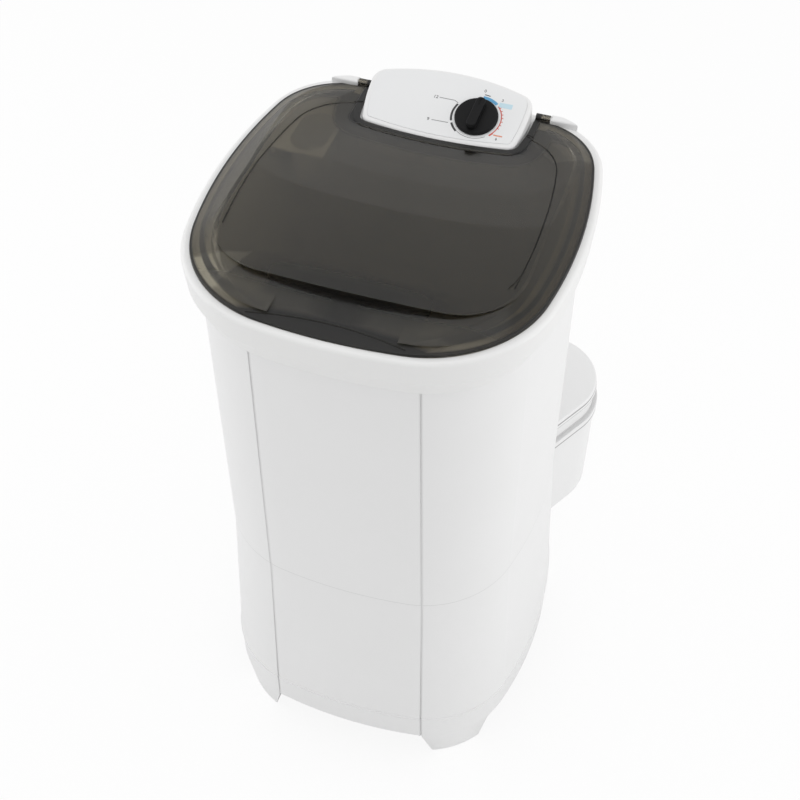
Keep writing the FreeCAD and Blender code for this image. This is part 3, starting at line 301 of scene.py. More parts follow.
class Surface:
    """One material under way: its bench, its Principled shader and its Object coordinates."""

    def __init__(self, name: str, centre: Point = (0.0, 0.0, 0.0)) -> None:
        """Start a material.

        Args:
            name: The material's name.
            centre: The point that its pattern is centred on.
        """
        self.material = bpy.data.materials.new(name)
        self.material.use_nodes = True
        self.bench = Bench(self.material.node_tree)
        self.shader = self.bench.add("BsdfPrincipled")
        sink = self.bench.add("OutputMaterial")
        self.bench.join(self.shader.outputs[0], sink.inputs["Surface"])
        where = self.bench.add("TexCoord")
        mapping = self.bench.add("Mapping", vector_type="POINT")
        mapping.inputs["Location"].default_value = tuple(-value for value in centre)
        self.bench.join(where.outputs["Object"], mapping.inputs["Vector"])
        self.spot = mapping.outputs["Vector"]

    def set(self, **values: object) -> None:
        """Set plain values on the shader; an underscore in a name stands for a space."""
        self.bench.fill(self.shader, {name.replace("_", " "): value for name, value in values.items()})

    def drive(self, name: str, value: Socket) -> None:
        """Feed one of the shader's inputs."""
        self.bench.join(value, self.shader.inputs[name])

    def axes(self) -> tuple[Socket, ...]:
        """Give the three coordinates of the surface's points."""
        node = self.bench.add("SeparateXYZ")
        self.bench.join(self.spot, node.inputs[0])
        return tuple(node.outputs)

    def fade(self, value: Socket, reach: Span, low: float, high: float, smooth: bool = True) -> Socket:
        """Ramp a length in metres over a reach in millimetres; the rest is as for Bench.ramp."""
        return self.bench.ramp(value, (reach[0] * MM, reach[1] * MM), low, high, smooth)

    def effect(self, group: bpy.types.NodeTree, **values: object) -> Node:
        """Place an effect at the surface's own coordinates.

        Args:
            group: The effect's group.
            values: Values of its inputs, by name.

        Returns:
            The effect's node.
        """
        node = self.bench.add("Group", node_tree=group)
        self.bench.fill(node, values)
        self.bench.join(self.spot, node.inputs["Vector"])
        return node

    def colour(self, clean: Colour, film: Colour, scale: float, amount: float) -> Node:
        """Feed Base Color from the handling film.

        Args:
            clean: Colour of the clean surface.
            film: Colour where the film lies.
            scale: Noise scale per metre.
            amount: Most of the film, from 0 to 1.

        Returns:
            The film's node.
        """
        node = self.effect(EFFECTS.film, Clean=(*clean, 1.0), Film=(*film, 1.0), Scale=scale, Amount=amount)
        self.drive("Base Color", node.outputs["Colour"])
        return node

    def gloss(self, value: Socket, low: float, high: float) -> None:
        """Feed Roughness from a value over the gloss span, spread from low to high."""
        self.drive("Roughness", self.bench.ramp(value, GLOSS_SPAN, low, high, False))

    def bump(self, height: Socket, depth: float, share: float) -> None:
        """Feed Normal from a height.

        Args:
            height: The height, about 0 to 1.
            depth: Depth of the relief in metres.
            share: Share of the relief that shows.
        """
        node = self.bench.add("Bump")
        self.bench.fill(node, {"Strength": share, "Distance": depth})
        self.bench.join(height, node.inputs["Height"])
        self.drive("Normal", node.outputs["Normal"])


@dataclass(frozen=True)
class MouldedPlastic:
    """Injection-moulded plastic with a fine grain and slow patches of gloss."""

    name: str
    clean: Colour
    film: Colour
    low: float = 0.3
    high: float = 0.42
    grain: float = 900.0
    depth: float = 0.00003
    shine: float = 0.5
    relief: float = 0.5
    film_scale: float = 6.0
    film_amount: float = 0.5
    index: float = 1.49

    def surface(self) -> tuple[Surface, Node]:
        """Build the plain plastic and give its surface and its film's node."""
        surface = Surface(self.name, CABINET_MIDDLE)
        film = surface.colour(self.clean, self.film, self.film_scale, self.film_amount)
        grain = surface.effect(EFFECTS.grain, Scale=self.grain)
        surface.gloss(grain.outputs["Patches"], self.low, self.high)
        surface.bump(grain.outputs["Height"], self.depth, self.relief)
        surface.set(IOR=self.index, Specular_IOR_Level=self.shine)
        return surface, film

    def make(self) -> Material:
        """Build the material."""
        return self.surface()[0].material


@dataclass(frozen=True)
class Seam:
    """A level joint: its height and half width in millimetres, and how much painted shade it gets from 0 to
    1.
    """

    height: float
    half: float
    dose: float


@dataclass(frozen=True)
class SeamShadePlastic(MouldedPlastic):
    """Moulded plastic with painted shade along its joints: level seams, and the two grooves down the front.
    """

    seams: tuple[Seam, ...] = ()
    # colour of the painted shade laid along the joints
    shade: Colour = (0.3, 0.3, 0.3)
    core: float = 0.3
    groove_dose: float = 0.0
    groove_foot: float = 104.6
    groove_lean_low: float = 5.3
    groove_lean_high: float = 4.9
    groove_half: float = 3.2
    base_span: Span = (65.0, 372.0)
    wall_span: Span = (372.0, 762.0)
    front: float = -150.0

    def near(self, surface: Surface, off: Socket, half: float, dose: float) -> Socket:
        """Painted shade of one joint.

        Args:
            surface: The material under way.
            off: Distance from the joint's middle in metres, with its sign.
            half: The joint's half width in millimetres.
            dose: Its shade at the middle.

        Returns:
            The shade's socket.
        """
        return surface.fade(surface.bench.math("ABSOLUTE", off), (self.core * half, half), dose, 0.0)

    def groove(self, surface: Surface) -> Socket:
        """Painted shade of the two grooves, which lean inward as they rise and end below the rim."""
        bench = surface.bench
        across, along, high = surface.axes()
        lean_low = surface.fade(high, self.base_span, 0.0, self.groove_lean_low * MM, False)
        lean_high = surface.fade(high, self.wall_span, 0.0, self.groove_lean_high * MM, False)
        line = bench.fold("SUBTRACT", self.groove_foot * MM, lean_low, lean_high)
        off = bench.math("SUBTRACT", bench.math("ABSOLUTE", across), line)
        return bench.fold("MULTIPLY", self.near(surface, off, self.groove_half, self.groove_dose),
                          bench.math("LESS_THAN", along, self.front * MM),
                          bench.math("LESS_THAN", high, self.wall_span[1] * MM))

    def make(self) -> Material:
        """Build the material."""
        surface, film = self.surface()
        bench = surface.bench
        high = surface.axes()[2]
        shades = [self.near(surface, bench.math("SUBTRACT", high, seam.height * MM), seam.half, seam.dose)
                  for seam in self.seams]
        if self.groove_dose:
            shades.append(self.groove(surface))
        # the joints' masks lay painted shade over the film's colour
        shade = bench.fold("MAXIMUM", *shades)
        surface.drive("Base Color", bench.blend(shade, film.outputs["Colour"], self.shade))
        return surface.material


@dataclass(frozen=True)
class PaintedLightCorner:
    """A corner of the lid with painted light: a point in plan, two inward directions, and its dose."""

    point: Pair
    first: Pair
    second: Pair
    dose: float


@dataclass(frozen=True)
class SmokedClear:
    """Smoked clear plastic: tinted glass with faint flow waves.

    Painted shade darkens the edge along the rim and round the panel, and a brow before the raised middle.
    Painted light brightens the left side, the front apron and two corners. Edge, brow and apron are satin.
    Places are in millimetres.
    """

    name: str
    tint: Colour
    deep: Colour
    # edge is the colour of the painted shade, light the colour of the painted light
    edge: Colour
    light: Colour
    corners: tuple[PaintedLightCorner, ...] = ()
    low: float = 0.12
    high: float = 0.18
    satin: float = 0.45
    index: float = 1.42
    film_scale: float = 5.0
    film_amount: float = 0.5
    waves: float = 140.0
    wave_depth: float = 0.0004
    wave_share: float = 0.12
    edge_foot: Span = (817.6, 818.4)
    edge_top: Span = (820.75, 821.6)
    side_reach: Span = (-190.0, 20.0)
    side_dose: float = 0.34
    apron_reach: Span = (-222.0, -200.0)
    apron_dose: float = 0.35
    brow_front: Span = (-216.0, -203.0)
    brow_back: Span = (-192.0, -168.0)
    brow_ends: Span = (40.0, 150.0)
    brow_dose: float = 0.75
    panel_x: float = 4.2
    panel_half: float = 97.2
    panel_front: float = 74.9
    panel_bow: float = 532.0
    panel_reach: Span = (8.5, 11.0)
    corner_reach: Span = (-1.0, 2.5)

    def near_panel(self, surface: Surface) -> Socket:
        """Mask of the lid's turned edge for its painted shade: the distance from the panel's bowed front and
        straight sides.
        """
        bench = surface.bench
        x, y, _ = surface.axes()
        across = bench.math("ABSOLUTE", bench.math("SUBTRACT", x, self.panel_x * MM))
        side = bench.math("MAXIMUM", bench.math("SUBTRACT", across, self.panel_half * MM), 0.0)
        bow = bench.math("DIVIDE", bench.math("MULTIPLY", across, across), 2 * self.panel_bow * MM)
        front = bench.math("SUBTRACT", bench.math("ADD", bow, self.panel_front * MM), y)
        front = bench.math("MAXIMUM", front, 0.0)
        squares = bench.math("ADD", bench.math("MULTIPLY", side, side), bench.math("MULTIPLY", front, front))
        return surface.fade(bench.math("SQRT", squares), self.panel_reach, 1.0, 0.0)

    def in_corner(self, surface: Surface, corner: PaintedLightCorner) -> Socket:
        """Mask of one corner's painted light: the lesser of the distances past its two sides."""
        bench = surface.bench
        past = []
        for direction in (corner.first, corner.second):
            dot = bench.add("VectorMath", operation="DOT_PRODUCT")
            dot.inputs[1].default_value = (*direction, 0.0)
            bench.join(surface.spot, dot.inputs[0])
            start = (direction[0] * corner.point[0] + direction[1] * corner.point[1]) * MM
            past.append(bench.math("SUBTRACT", dot.outputs["Value"], start))
        return surface.fade(bench.math("MINIMUM", *past), self.corner_reach, 0.0, corner.dose)

    def make(self) -> Material:
        """Build the material."""
        surface = Surface(self.name, CABINET_MIDDLE)
        bench = surface.bench
        x, y, z = surface.axes()
        rim = bench.math("MULTIPLY", surface.fade(z, self.edge_foot, 0.0, 1.0),
                         surface.fade(z, self.edge_top, 1.0, 0.0))
        turned = bench.math("MAXIMUM", self.near_panel(surface), rim)
        apron = surface.fade(y, self.apron_reach, 1.0, 0.0)
        brow = bench.fold("MULTIPLY", surface.fade(y, self.brow_front, 0.0, 1.0),
                          surface.fade(y, self.brow_back, 1.0, 0.0),
                          surface.fade(bench.math("ABSOLUTE", x), self.brow_ends, 1.0, 0.0))
        film = surface.colour(self.tint, self.deep, self.film_scale, self.film_amount)
        tone = film.outputs["Colour"]
        # painted light: the left side, the two corners and the front apron are brightened towards the light
        # colour
        lit = [surface.fade(x, self.side_reach, self.side_dose, 0.0)]
        lit += [self.in_corner(surface, corner) for corner in self.corners]
        lit.append(bench.math("MULTIPLY", apron, self.apron_dose))
        for mask in lit:
            tone = bench.blend(mask, tone, self.light)
        # painted shade on the turned edge and the brow
        shade = bench.math("MAXIMUM", turned, bench.math("MULTIPLY", brow, self.brow_dose))
        surface.drive("Base Color", bench.blend(shade, tone, self.edge))
        patches = surface.effect(EFFECTS.grain, Scale=self.waves).outputs["Patches"]
        gloss = bench.ramp(patches, GLOSS_SPAN, self.low, self.high, False)
        satin = bench.math("MULTIPLY", bench.fold("MAXIMUM", turned, brow, apron), self.satin)
        surface.drive("Roughness", bench.math("MAXIMUM", gloss, satin))
        surface.bump(patches, self.wave_depth, self.wave_share)
        surface.set(IOR=self.index, Transmission_Weight=1.0)
        return surface.material


@dataclass(frozen=True)
class SoftRubber:
    """Dull moulded rubber with a dusty bloom, ribbed if it has a scale of ribs."""

    name: str
    clean: Colour
    bloom: Colour
    ribs: float = 0.0
    low: float = 0.62
    high: float = 0.85
    grain: float = 1400.0
    depth: float = 0.0001
    relief: float = 0.6
    film_scale: float = 30.0
    film_amount: float = 0.7
    index: float = 1.5

    def make(self) -> Material:
        """Build the material."""
        surface = Surface(self.name)
        film = surface.colour(self.clean, self.bloom, self.film_scale, self.film_amount)
        surface.gloss(film.outputs["Mask"], self.low, self.high)
        if self.ribs:
            pattern = surface.effect(EFFECTS.lines, Scale=self.ribs)
        else:
            pattern = surface.effect(EFFECTS.grain, Scale=self.grain)
        surface.bump(pattern.outputs["Height"], self.depth, self.relief)
        surface.set(IOR=self.index)
        return surface.material


# Depth of each lay's relief in metres, and the share of it that shows.
LAY_RELIEF: dict[Lay, Pair] = {
    Lay.TURNED: (0.00003, 0.7), Lay.STACKED: (0.0001, 0.7),
    Lay.CAST: (0.0002, 0.7), Lay.SPANGLED: (0.00004, 0.5)}


@dataclass(frozen=True)
class WorkedMetal:
    """Bare metal, worked as its lay says, with patches of tarnish."""

    name: str
    clean: Colour
    tarnish: Colour
    lay: Lay
    low: float
    high: float
    scale: float
    film_scale: float = 40.0
    film_amount: float = 0.6

    def make(self) -> Material:
        """Build the material."""
        surface = Surface(self.name)
        film = surface.colour(self.clean, self.tarnish, self.film_scale, self.film_amount)
        surface.gloss(film.outputs["Mask"], self.low, self.high)
        surface.set(Metallic=1.0)
        if self.lay is Lay.SPANGLED:
            height = surface.bench.texture("Voronoi", surface.spot, self.scale).outputs["Distance"]
        else:
            group = EFFECTS.grain if self.lay is Lay.CAST else EFFECTS.lines
            height = surface.effect(group, Scale=self.scale).outputs["Height"]
        surface.bump(height, *LAY_RELIEF[self.lay])
        return surface.material


@dataclass(frozen=True)
class WoundWire:
    """Varnished winding wire that runs round the motor's axis."""

    name: str
    bright: Colour
    # dark is the colour of the painted shade between the wires
    dark: Colour
    centre: Point
    pitch: float = 330.0
    bend: float = 1.2
    low: float = 0.28
    high: float = 0.4
    depth: float = 0.0003
    relief: float = 0.8
    metal: float = 0.8
    varnish: float = 0.4
    varnish_haze: float = 0.2

    def make(self) -> Material:
        """Build the material: rings round the axis, with painted shade between the wires."""
        surface = Surface(self.name, self.centre)
        rings = surface.bench.texture("Wave", surface.spot, self.pitch,
                                      {"wave_type": "RINGS", "rings_direction": "Z"}, Distortion=self.bend)
        wire = rings.outputs["Fac"]
        surface.drive("Base Color", surface.bench.blend(wire, self.dark, self.bright))
        surface.gloss(wire, self.low, self.high)
        surface.bump(wire, self.depth, self.relief)
        surface.set(Metallic=self.metal, Coat_Weight=self.varnish, Coat_Roughness=self.varnish_haze)
        return surface.material


@dataclass(frozen=True)
class PrintedInk:
    """Screen-printed ink: a flat colour, slightly uneven in tone and gloss."""

    name: str
    ink: Colour
    thin: Colour
    low: float = 0.32
    high: float = 0.5
    grain: float = 2500.0
    depth: float = 0.00001
    relief: float = 0.4
    film_scale: float = 400.0
    film_amount: float = 0.4

    def make(self) -> Material:
        """Build the material."""
        surface = Surface(self.name)
        film = surface.colour(self.ink, self.thin, self.film_scale, self.film_amount)
        surface.gloss(film.outputs["Mask"], self.low, self.high)
        grain = surface.effect(EFFECTS.grain, Scale=self.grain)
        surface.bump(grain.outputs["Height"], self.depth, self.relief)
        return surface.material


SHELL = ((0.86, 0.86, 0.86), (0.84, 0.84, 0.838), 0.3, 0.4, 900.0, 0.00001)
SHELL_WHITE = MouldedPlastic("shell_white", *SHELL)
# WALL_WHITE and TOWER_WHITE carry painted shade along their seams, and WALL_WHITE along its two front grooves
WALL_WHITE = SeamShadePlastic("wall_white", *SHELL, seams=(Seam(372.0, 1.2, 0.32),), groove_dose=0.12)
TOWER_WHITE = SeamShadePlastic("tower_white", *SHELL,
                            seams=(Seam(344.6, 1.8, 0.9), Seam(338.5, 2.2, 0.6), Seam(315.5, 3.0, 0.35),
                                   Seam(304.5, 1.9, 0.9), Seam(295.0, 1.8, 0.6)))
TUB_WHITE = MouldedPlastic("tub_white", (0.86, 0.86, 0.855), (0.835, 0.835, 0.83), 0.34, 0.42, 900.0,
                           0.000005)
CUP_WHITE = MouldedPlastic("cup_white", (0.83, 0.83, 0.82), (0.78, 0.78, 0.765), 0.3, 0.42)
FASCIA_WHITE = MouldedPlastic("fascia_white", (0.85, 0.855, 0.86), (0.82, 0.825, 0.83), 0.34, 0.42, 1600.0,
                              0.00001)
KNOB_BLACK = MouldedPlastic("knob_black", (0.009, 0.009, 0.0095), (0.014, 0.014, 0.0145), 0.42, 0.55, 1500.0,
                            0.00003, shine=0.12)
AGITATOR_GREY = MouldedPlastic("agitator_grey", (0.42, 0.45, 0.48), (0.36, 0.38, 0.4), 0.28, 0.4)
DARK_PLASTIC = MouldedPlastic("dark_plastic", (0.045, 0.046, 0.05), (0.07, 0.07, 0.07), 0.4, 0.55)
PULLEY_PLASTIC = MouldedPlastic("pulley_plastic", (0.1, 0.1, 0.105), (0.14, 0.135, 0.13), 0.35, 0.5, 600.0,
                                0.00005)
# LID_CORNERS are patches of painted light; in SMOKED_LID the third colour is painted shade and the fourth
# painted light
LID_CORNERS = (PaintedLightCorner((-113.6, -177.9), (0.246, -0.969), (-0.933, 0.359), 1.0),
               PaintedLightCorner((144.6, 67.7), (0.721, 0.692), (-0.454, 0.891), 0.25))
SMOKED_LID = SmokedClear("smoked_lid", (0.225, 0.2, 0.15), (0.205, 0.182, 0.137), (0.015, 0.014, 0.012),
                         (0.68, 0.65, 0.56), LID_CORNERS)
# dark strips laid as painted shade in the lid's scoop and groove
LID_SHADE_LINE = MouldedPlastic("lid_shade_line", (0.02, 0.019, 0.017), (0.03, 0.029, 0.026), 0.4, 0.5, 1200.0, 0.00001,
                          shine=0.1)
PAD_RUBBER = SoftRubber("pad_rubber", (0.05, 0.05, 0.052), (0.09, 0.088, 0.085))
BELT_RUBBER = SoftRubber("belt_rubber", (0.03, 0.03, 0.03), (0.06, 0.058, 0.055), 120.0)
SHAFT_STEEL = WorkedMetal("shaft_steel", (0.62, 0.62, 0.63), (0.5, 0.49, 0.47), Lay.TURNED, 0.2, 0.34, 900.0)
ZINC_STEEL = WorkedMetal("zinc_steel", (0.66, 0.67, 0.68), (0.5, 0.5, 0.5), Lay.SPANGLED, 0.28, 0.5, 260.0)
BELL_ALUMINIUM = WorkedMetal("bell_aluminium", (0.74, 0.74, 0.75), (0.6, 0.6, 0.6), Lay.CAST, 0.38, 0.55,
                             500.0)
STATOR_IRON = WorkedMetal("stator_iron", (0.3, 0.3, 0.31), (0.2, 0.17, 0.15), Lay.STACKED, 0.4, 0.6, 420.0)
BUSH_BRONZE = WorkedMetal("bush_bronze", (0.6, 0.42, 0.22), (0.42, 0.28, 0.14), Lay.CAST, 0.3, 0.5, 900.0)
# WINDING_COPPER's second colour is painted shade between the wires
WINDING_COPPER = WoundWire("winding_copper", (0.62, 0.27, 0.12), (0.2, 0.07, 0.03), MOTOR_AXIS)
INK_BLACK = PrintedInk("ink_black", (0.02, 0.02, 0.022), (0.05, 0.05, 0.05))
INK_GREY = PrintedInk("ink_grey", (0.22, 0.22, 0.23), (0.3, 0.3, 0.3))
INK_BLUE = PrintedInk("ink_blue", (0.1, 0.36, 0.62), (0.16, 0.42, 0.66))
INK_PALE_BLUE = PrintedInk("ink_pale_blue", (0.56, 0.75, 0.84), (0.6, 0.77, 0.85))
INK_RED = PrintedInk("ink_red", (0.62, 0.07, 0.045), (0.66, 0.13, 0.1))
INK_SALMON = PrintedInk("ink_salmon", (0.75, 0.3, 0.2), (0.78, 0.38, 0.28))


class Shelf:
    """Holds each finish's material, made once."""

    def __init__(self) -> None:
        """Start empty."""
        self.made: dict[str, Material] = {}

    def get(self, finish: Finish) -> Material:
        """Give a finish's material, making it on first use."""
        if finish.name not in self.made:
            self.made[finish.name] = finish.make()
        return self.made[finish.name]


SHELF = Shelf()


class Shaper:
    """Turns arrays of points into mesh objects."""

    @staticmethod
    def quads(rows: int, columns: int, closed: bool) -> np.ndarray:
        """Number the four corners of every cell of a grid.

        Args:
            rows: Points along the path.
            columns: Points along the profile.
            closed: True if the profile's last point joins its first.

        Returns:
            One row of four point numbers for each cell.
        """
        row = np.arange(rows - 1)[:, None] * columns
        column = np.arange(columns if closed else columns - 1)[None, :]
        after = (column + 1) % columns
        corners = [row + column, row + after, row + columns + after, row + columns + column]
        return np.stack(corners, -1).reshape(-1, 4)

    @staticmethod
    def solid(name: str, points: np.ndarray, faces: list[list[int]], finish: Finish) -> bpy.types.Object:
        """Make a mesh object with outward normals.

        Args:
            name: The piece's name.
            points: Its points in metres, one row each.
            faces: Its faces as lists of point numbers.
            finish: Its finish.

        Returns:
            The object, at the origin.
        """
        mesh = bpy.data.meshes.new(name)
        mesh.from_pydata(points.tolist(), [], faces)
        work = bmesh.new()
        work.from_mesh(mesh)
        bmesh.ops.recalc_face_normals(work, faces=work.faces)
        work.to_mesh(mesh)
        work.free()
        mesh.materials.append(SHELF.get(finish))
        return put(name, mesh)

    @classmethod
    def swept(cls, name: str, rings: np.ndarray, finish: Finish) -> bpy.types.Object:
        """Skin closed profiles along a path and cap both ends.

        Args:
            name: The piece's name.
            rings: Points as path by profile by three.
            finish: Its finish.

        Returns:
            The object.
        """
        rows, columns = rings.shape[:2]
        faces = cls.quads(rows, columns, True).tolist()
        faces.append(list(range(columns)))
        faces.append(list(range((rows - 1) * columns, rows * columns)))
        return cls.solid(name, rings.reshape(-1, 3), faces, finish)


@dataclass
class SubAssembly:
    """A group of pieces that are dressed together."""

    title: str
    finishes: dict[str, Finish]

    def dress(self) -> None:
        """Give every solid of the group its finish."""
        for node, finish in self.finishes.items():
            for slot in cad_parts[node].material_slots:
                slot.material = SHELF.get(finish)
            LOG.info("%s: %s in %s", self.title, node, finish.name)

    def build(self) -> None:
        """Add the group's own pieces; most groups have none."""


@dataclass(frozen=True)
class ArcMark:
    """A printed band: its radii in millimetres and its first and last hour, clockwise, 12 at the top."""

    name: str
    finish: Finish
    radii: Span
    hours: Span
    slot: str | None


@dataclass(frozen=True)
class BarMark:
    """A printed bar: its ends in millimetres from the knob's axis, and its width."""

    name: str
    finish: Finish
    start: Pair
    end: Pair
    width: float
    slot: str | None


@dataclass(frozen=True)
class NumberMark:
    """A printed number: its middle in millimetres from the knob's axis, and its height."""

    name: str
    finish: Finish
    text: str
    middle: Pair
    size: float
    slot: str | None


DIAL_ARCS = (
    ArcMark("scale_blue", INK_BLUE, (27.0, 30.8), (0.02, 1.3), None),
    ArcMark("scale_red", INK_RED, (28.2, 29.4), (1.5, 4.15), None),
    ArcMark("scale_red_end", INK_RED, (28.2, 30.2), (4.15, 4.5), None),
    ArcMark("scale_line", INK_GREY, (28.3, 28.9), (4.8, 7.2), "knob_black"),
    ArcMark("scale_black_low", INK_BLACK, (28.0, 30.5), (7.25, 8.1), "knob_black"),
    ArcMark("scale_black_high", INK_BLACK, (28.0, 30.5), (8.3, 9.9), "knob_black"),
    ArcMark("turn_mark", INK_BLACK, (32.4, 33.4), (0.05, 0.45), "knob_black"),
)
DIAL_BARS = (
    BarMark("patch_blue", INK_PALE_BLUE, (20.5, 23.0), (36.2, 23.0), 6.5, None),
    BarMark("patch_red", INK_SALMON, (25.5, -18.7), (35.8, -18.7), 1.8, None),
    BarMark("leader_high_end", INK_GREY, (-26.2, 14.8), (-30.9, 17.4), 0.8, "knob_black"),
    BarMark("leader_high", INK_GREY, (-31.2, 17.4), (-49.5, 17.4), 0.8, "knob_black"),
    BarMark("leader_low", INK_GREY, (-29.8, -14.1), (-49.5, -14.6), 0.8, "knob_black"),
)
DIAL_NUMBERS = (
    NumberMark("number_0", INK_BLACK, "0", (0.0, 37.9), 3.9, "knob_black"),
    NumberMark("number_3", INK_BLACK, "3", (23.0, 29.4), 3.6, "knob_black"),
    NumberMark("number_6", INK_BLACK, "6", (30.0, -23.4), 3.6, "knob_black"),
    NumberMark("number_9", INK_BLACK, "9", (-53.7, -14.6), 4.2, "knob_black"),
    NumberMark("number_12", INK_BLACK, "12", (-53.8, 17.3), 4.2, "knob_black"),
)


@dataclass
class DialPrint(SubAssembly):
    """The sloping control panel with the print round its knob."""

    panel_front: float = 72.3
    panel_rise: float = 819.54
    panel_tilt: float = 18.5
    face: float = 0.4
    knob_x: float = 40.2
    knob_up: float = 39.9
    ink_low: float = 0.01
    ink_thick: float = 0.12
    tick_hours: Span = (1.7, 3.6)
    tick_half: float = 0.03
    tick_radii: Span = (29.0, 31.0)
    tick_count: int = 7
    least_steps: int = 8
    steps_per_hour: int = 10
    font_share: float = 1.4
    font_steps: int = 4

    def placed(self, flat: np.ndarray) -> np.ndarray:
        """Carry points from the dial to the row frame.

        The dial's plane is turned about X by the panel's tilt and moved to the knob's axis.

        Args:
            flat: Points in millimetres: across, up the panel, and out of it.

        Returns:
            The points in metres.
        """
        tilt = math.radians(self.panel_tilt)
        across = flat[..., 0] + self.knob_x
        up = flat[..., 1] + self.knob_up
        out = flat[..., 2] + self.face
        back = self.panel_front + up * math.cos(tilt) - out * math.sin(tilt)
        high = self.panel_rise + up * math.sin(tilt) + out * math.cos(tilt)
        return np.stack([across, back, high], -1) * MM

    def keep(self, piece: bpy.types.Object, slot: str | None) -> None:
        """Fasten a piece to the cabinet and log it."""
        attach(piece, "cabinet")
        LOG.info("%s: %s", self.title, piece.name)

    def levels(self) -> np.ndarray:
        """Give the heights over the panel of a printed strip's four edges."""
        return np.repeat([self.ink_low, self.ink_thick], 2)

    def arc(self, mark: ArcMark) -> bpy.types.Object:
        """Make a flat printed band: a rectangle carried round the knob, between two hours of a clock.

        Args:
            mark: What to print.

        Returns:
            The object.
        """
        steps = max(self.least_steps, int(abs(mark.hours[1] - mark.hours[0]) * self.steps_per_hour))
        angle = math.pi / 2 - np.linspace(*mark.hours, steps) * HOUR
        radius = np.take(mark.radii, (0, 1, 1, 0))
        across = np.cos(angle)[:, None] * radius
        up = np.sin(angle)[:, None] * radius
        out = np.broadcast_to(self.levels(), across.shape)
        return Shaper.swept(mark.name, self.placed(np.stack([across, up, out], -1)), mark.finish)

    def bar(self, mark: BarMark) -> bpy.types.Object:
        """Make a flat printed bar: a rectangle carried along a straight line.

        Args:
            mark: What to print.

        Returns:
            The object.
        """
        ends = np.array([mark.start, mark.end])
        along = ends[1] - ends[0]
        side = np.array([-along[1], along[0]]) / np.hypot(*along) * mark.width / 2
        flat = ends[:, None, :] + STRIP_SIDES[None, :, None] * side
        out = np.broadcast_to(self.levels(), flat.shape[:2])
        return Shaper.swept(mark.name, self.placed(np.concatenate([flat, out[..., None]], -1)), mark.finish)

    def number(self, mark: NumberMark) -> bpy.types.Object:
        """Make a plain number of the scale as a thin mesh.

        Args:
            mark: What to print.

        Returns:
            The object.
        """
        curve = bpy.data.curves.new(mark.name, "FONT")
        curve.body = mark.text
        curve.size = mark.size * self.font_share
        curve.align_x = "CENTER"
        curve.align_y = "CENTER"
        curve.extrude = self.ink_thick / 2
        curve.resolution_u = self.font_steps
        draft = put(mark.name + "_draft", curve)
        mesh = bpy.data.meshes.new_from_object(draft.evaluated_get(bpy.context.evaluated_depsgraph_get()))
        bpy.data.objects.remove(draft)
        flat = np.empty(len(mesh.vertices) * 3)
        mesh.vertices.foreach_get("co", flat)
        flat = flat.reshape(-1, 3) + np.array([*mark.middle, self.ink_thick / 2 + self.ink_low])
        mesh.vertices.foreach_set("co", self.placed(flat).ravel())
        mesh.name = mark.name
        mesh.materials.clear()
        mesh.materials.append(SHELF.get(mark.finish))
        return put(mark.name, mesh)

    def build(self) -> None:
        """Print the scale, its ticks, patches, leaders and numbers."""
        hours = np.linspace(*self.tick_hours, self.tick_count)
        ticks = [ArcMark(f"tick_red_{index}", INK_RED, self.tick_radii,
                         (hour - self.tick_half, hour + self.tick_half), None)
                 for index, hour in enumerate(hours)]
        for mark in (*DIAL_ARCS, *ticks):
            self.keep(self.arc(mark), mark.slot)
        for mark in DIAL_BARS:
            self.keep(self.bar(mark), mark.slot)
        for mark in DIAL_NUMBERS:
            self.keep(self.number(mark), mark.slot)


@dataclass(frozen=True)
class ContourPlan:
    """Plan of the groove round the lid's middle: a bowed side, a round rear corner and a bowed back."""

    half_width: float = 164.0
    back: float = 118.0
    side_bow: float = 735.0
    back_bow: float = 900.0
    corner: float = 78.0
    side_centre: float = -72.0
    front_end: float = -148.0
    steps: int = 40

    def trace(self, stop: float) -> np.ndarray:
        """Trace the right half: three tangent arcs, the corner's centre at its own reach from the other two.

        Args:
            stop: How far from the middle the line ends beside the panel.

        Returns:
            Points in millimetres from the front end to the rear end.
        """
        side = np.array([self.half_width - self.side_bow, self.side_centre])
        rear = np.array([0.0, self.back - self.back_bow])
        reach = self.side_bow - self.corner
        gap = np.hypot(*(rear - side))
        unit = (rear - side) / gap
        along = (reach ** 2 - (self.back_bow - self.corner) ** 2 + gap ** 2) / (2 * gap)
        corner = side + along * unit + math.sqrt(reach ** 2 - along ** 2) * np.array([-unit[1], unit[0]])
        turns = [math.asin((self.front_end - self.side_centre) / self.side_bow),
                 math.atan2(*(corner - side)[::-1]), math.atan2(*(corner - rear)[::-1]),
                 math.acos(stop / self.back_bow)]
        radii = (self.side_bow, self.corner, self.back_bow)
        arcs = []
        for centre, radius, first, last in zip((side, corner, rear), radii, turns[:-1], turns[1:]):
            angle = np.linspace(first, last, self.steps, endpoint=False)
            arcs.append(centre + radius * np.stack([np.cos(angle), np.sin(angle)], -1))
        return np.concatenate(arcs)


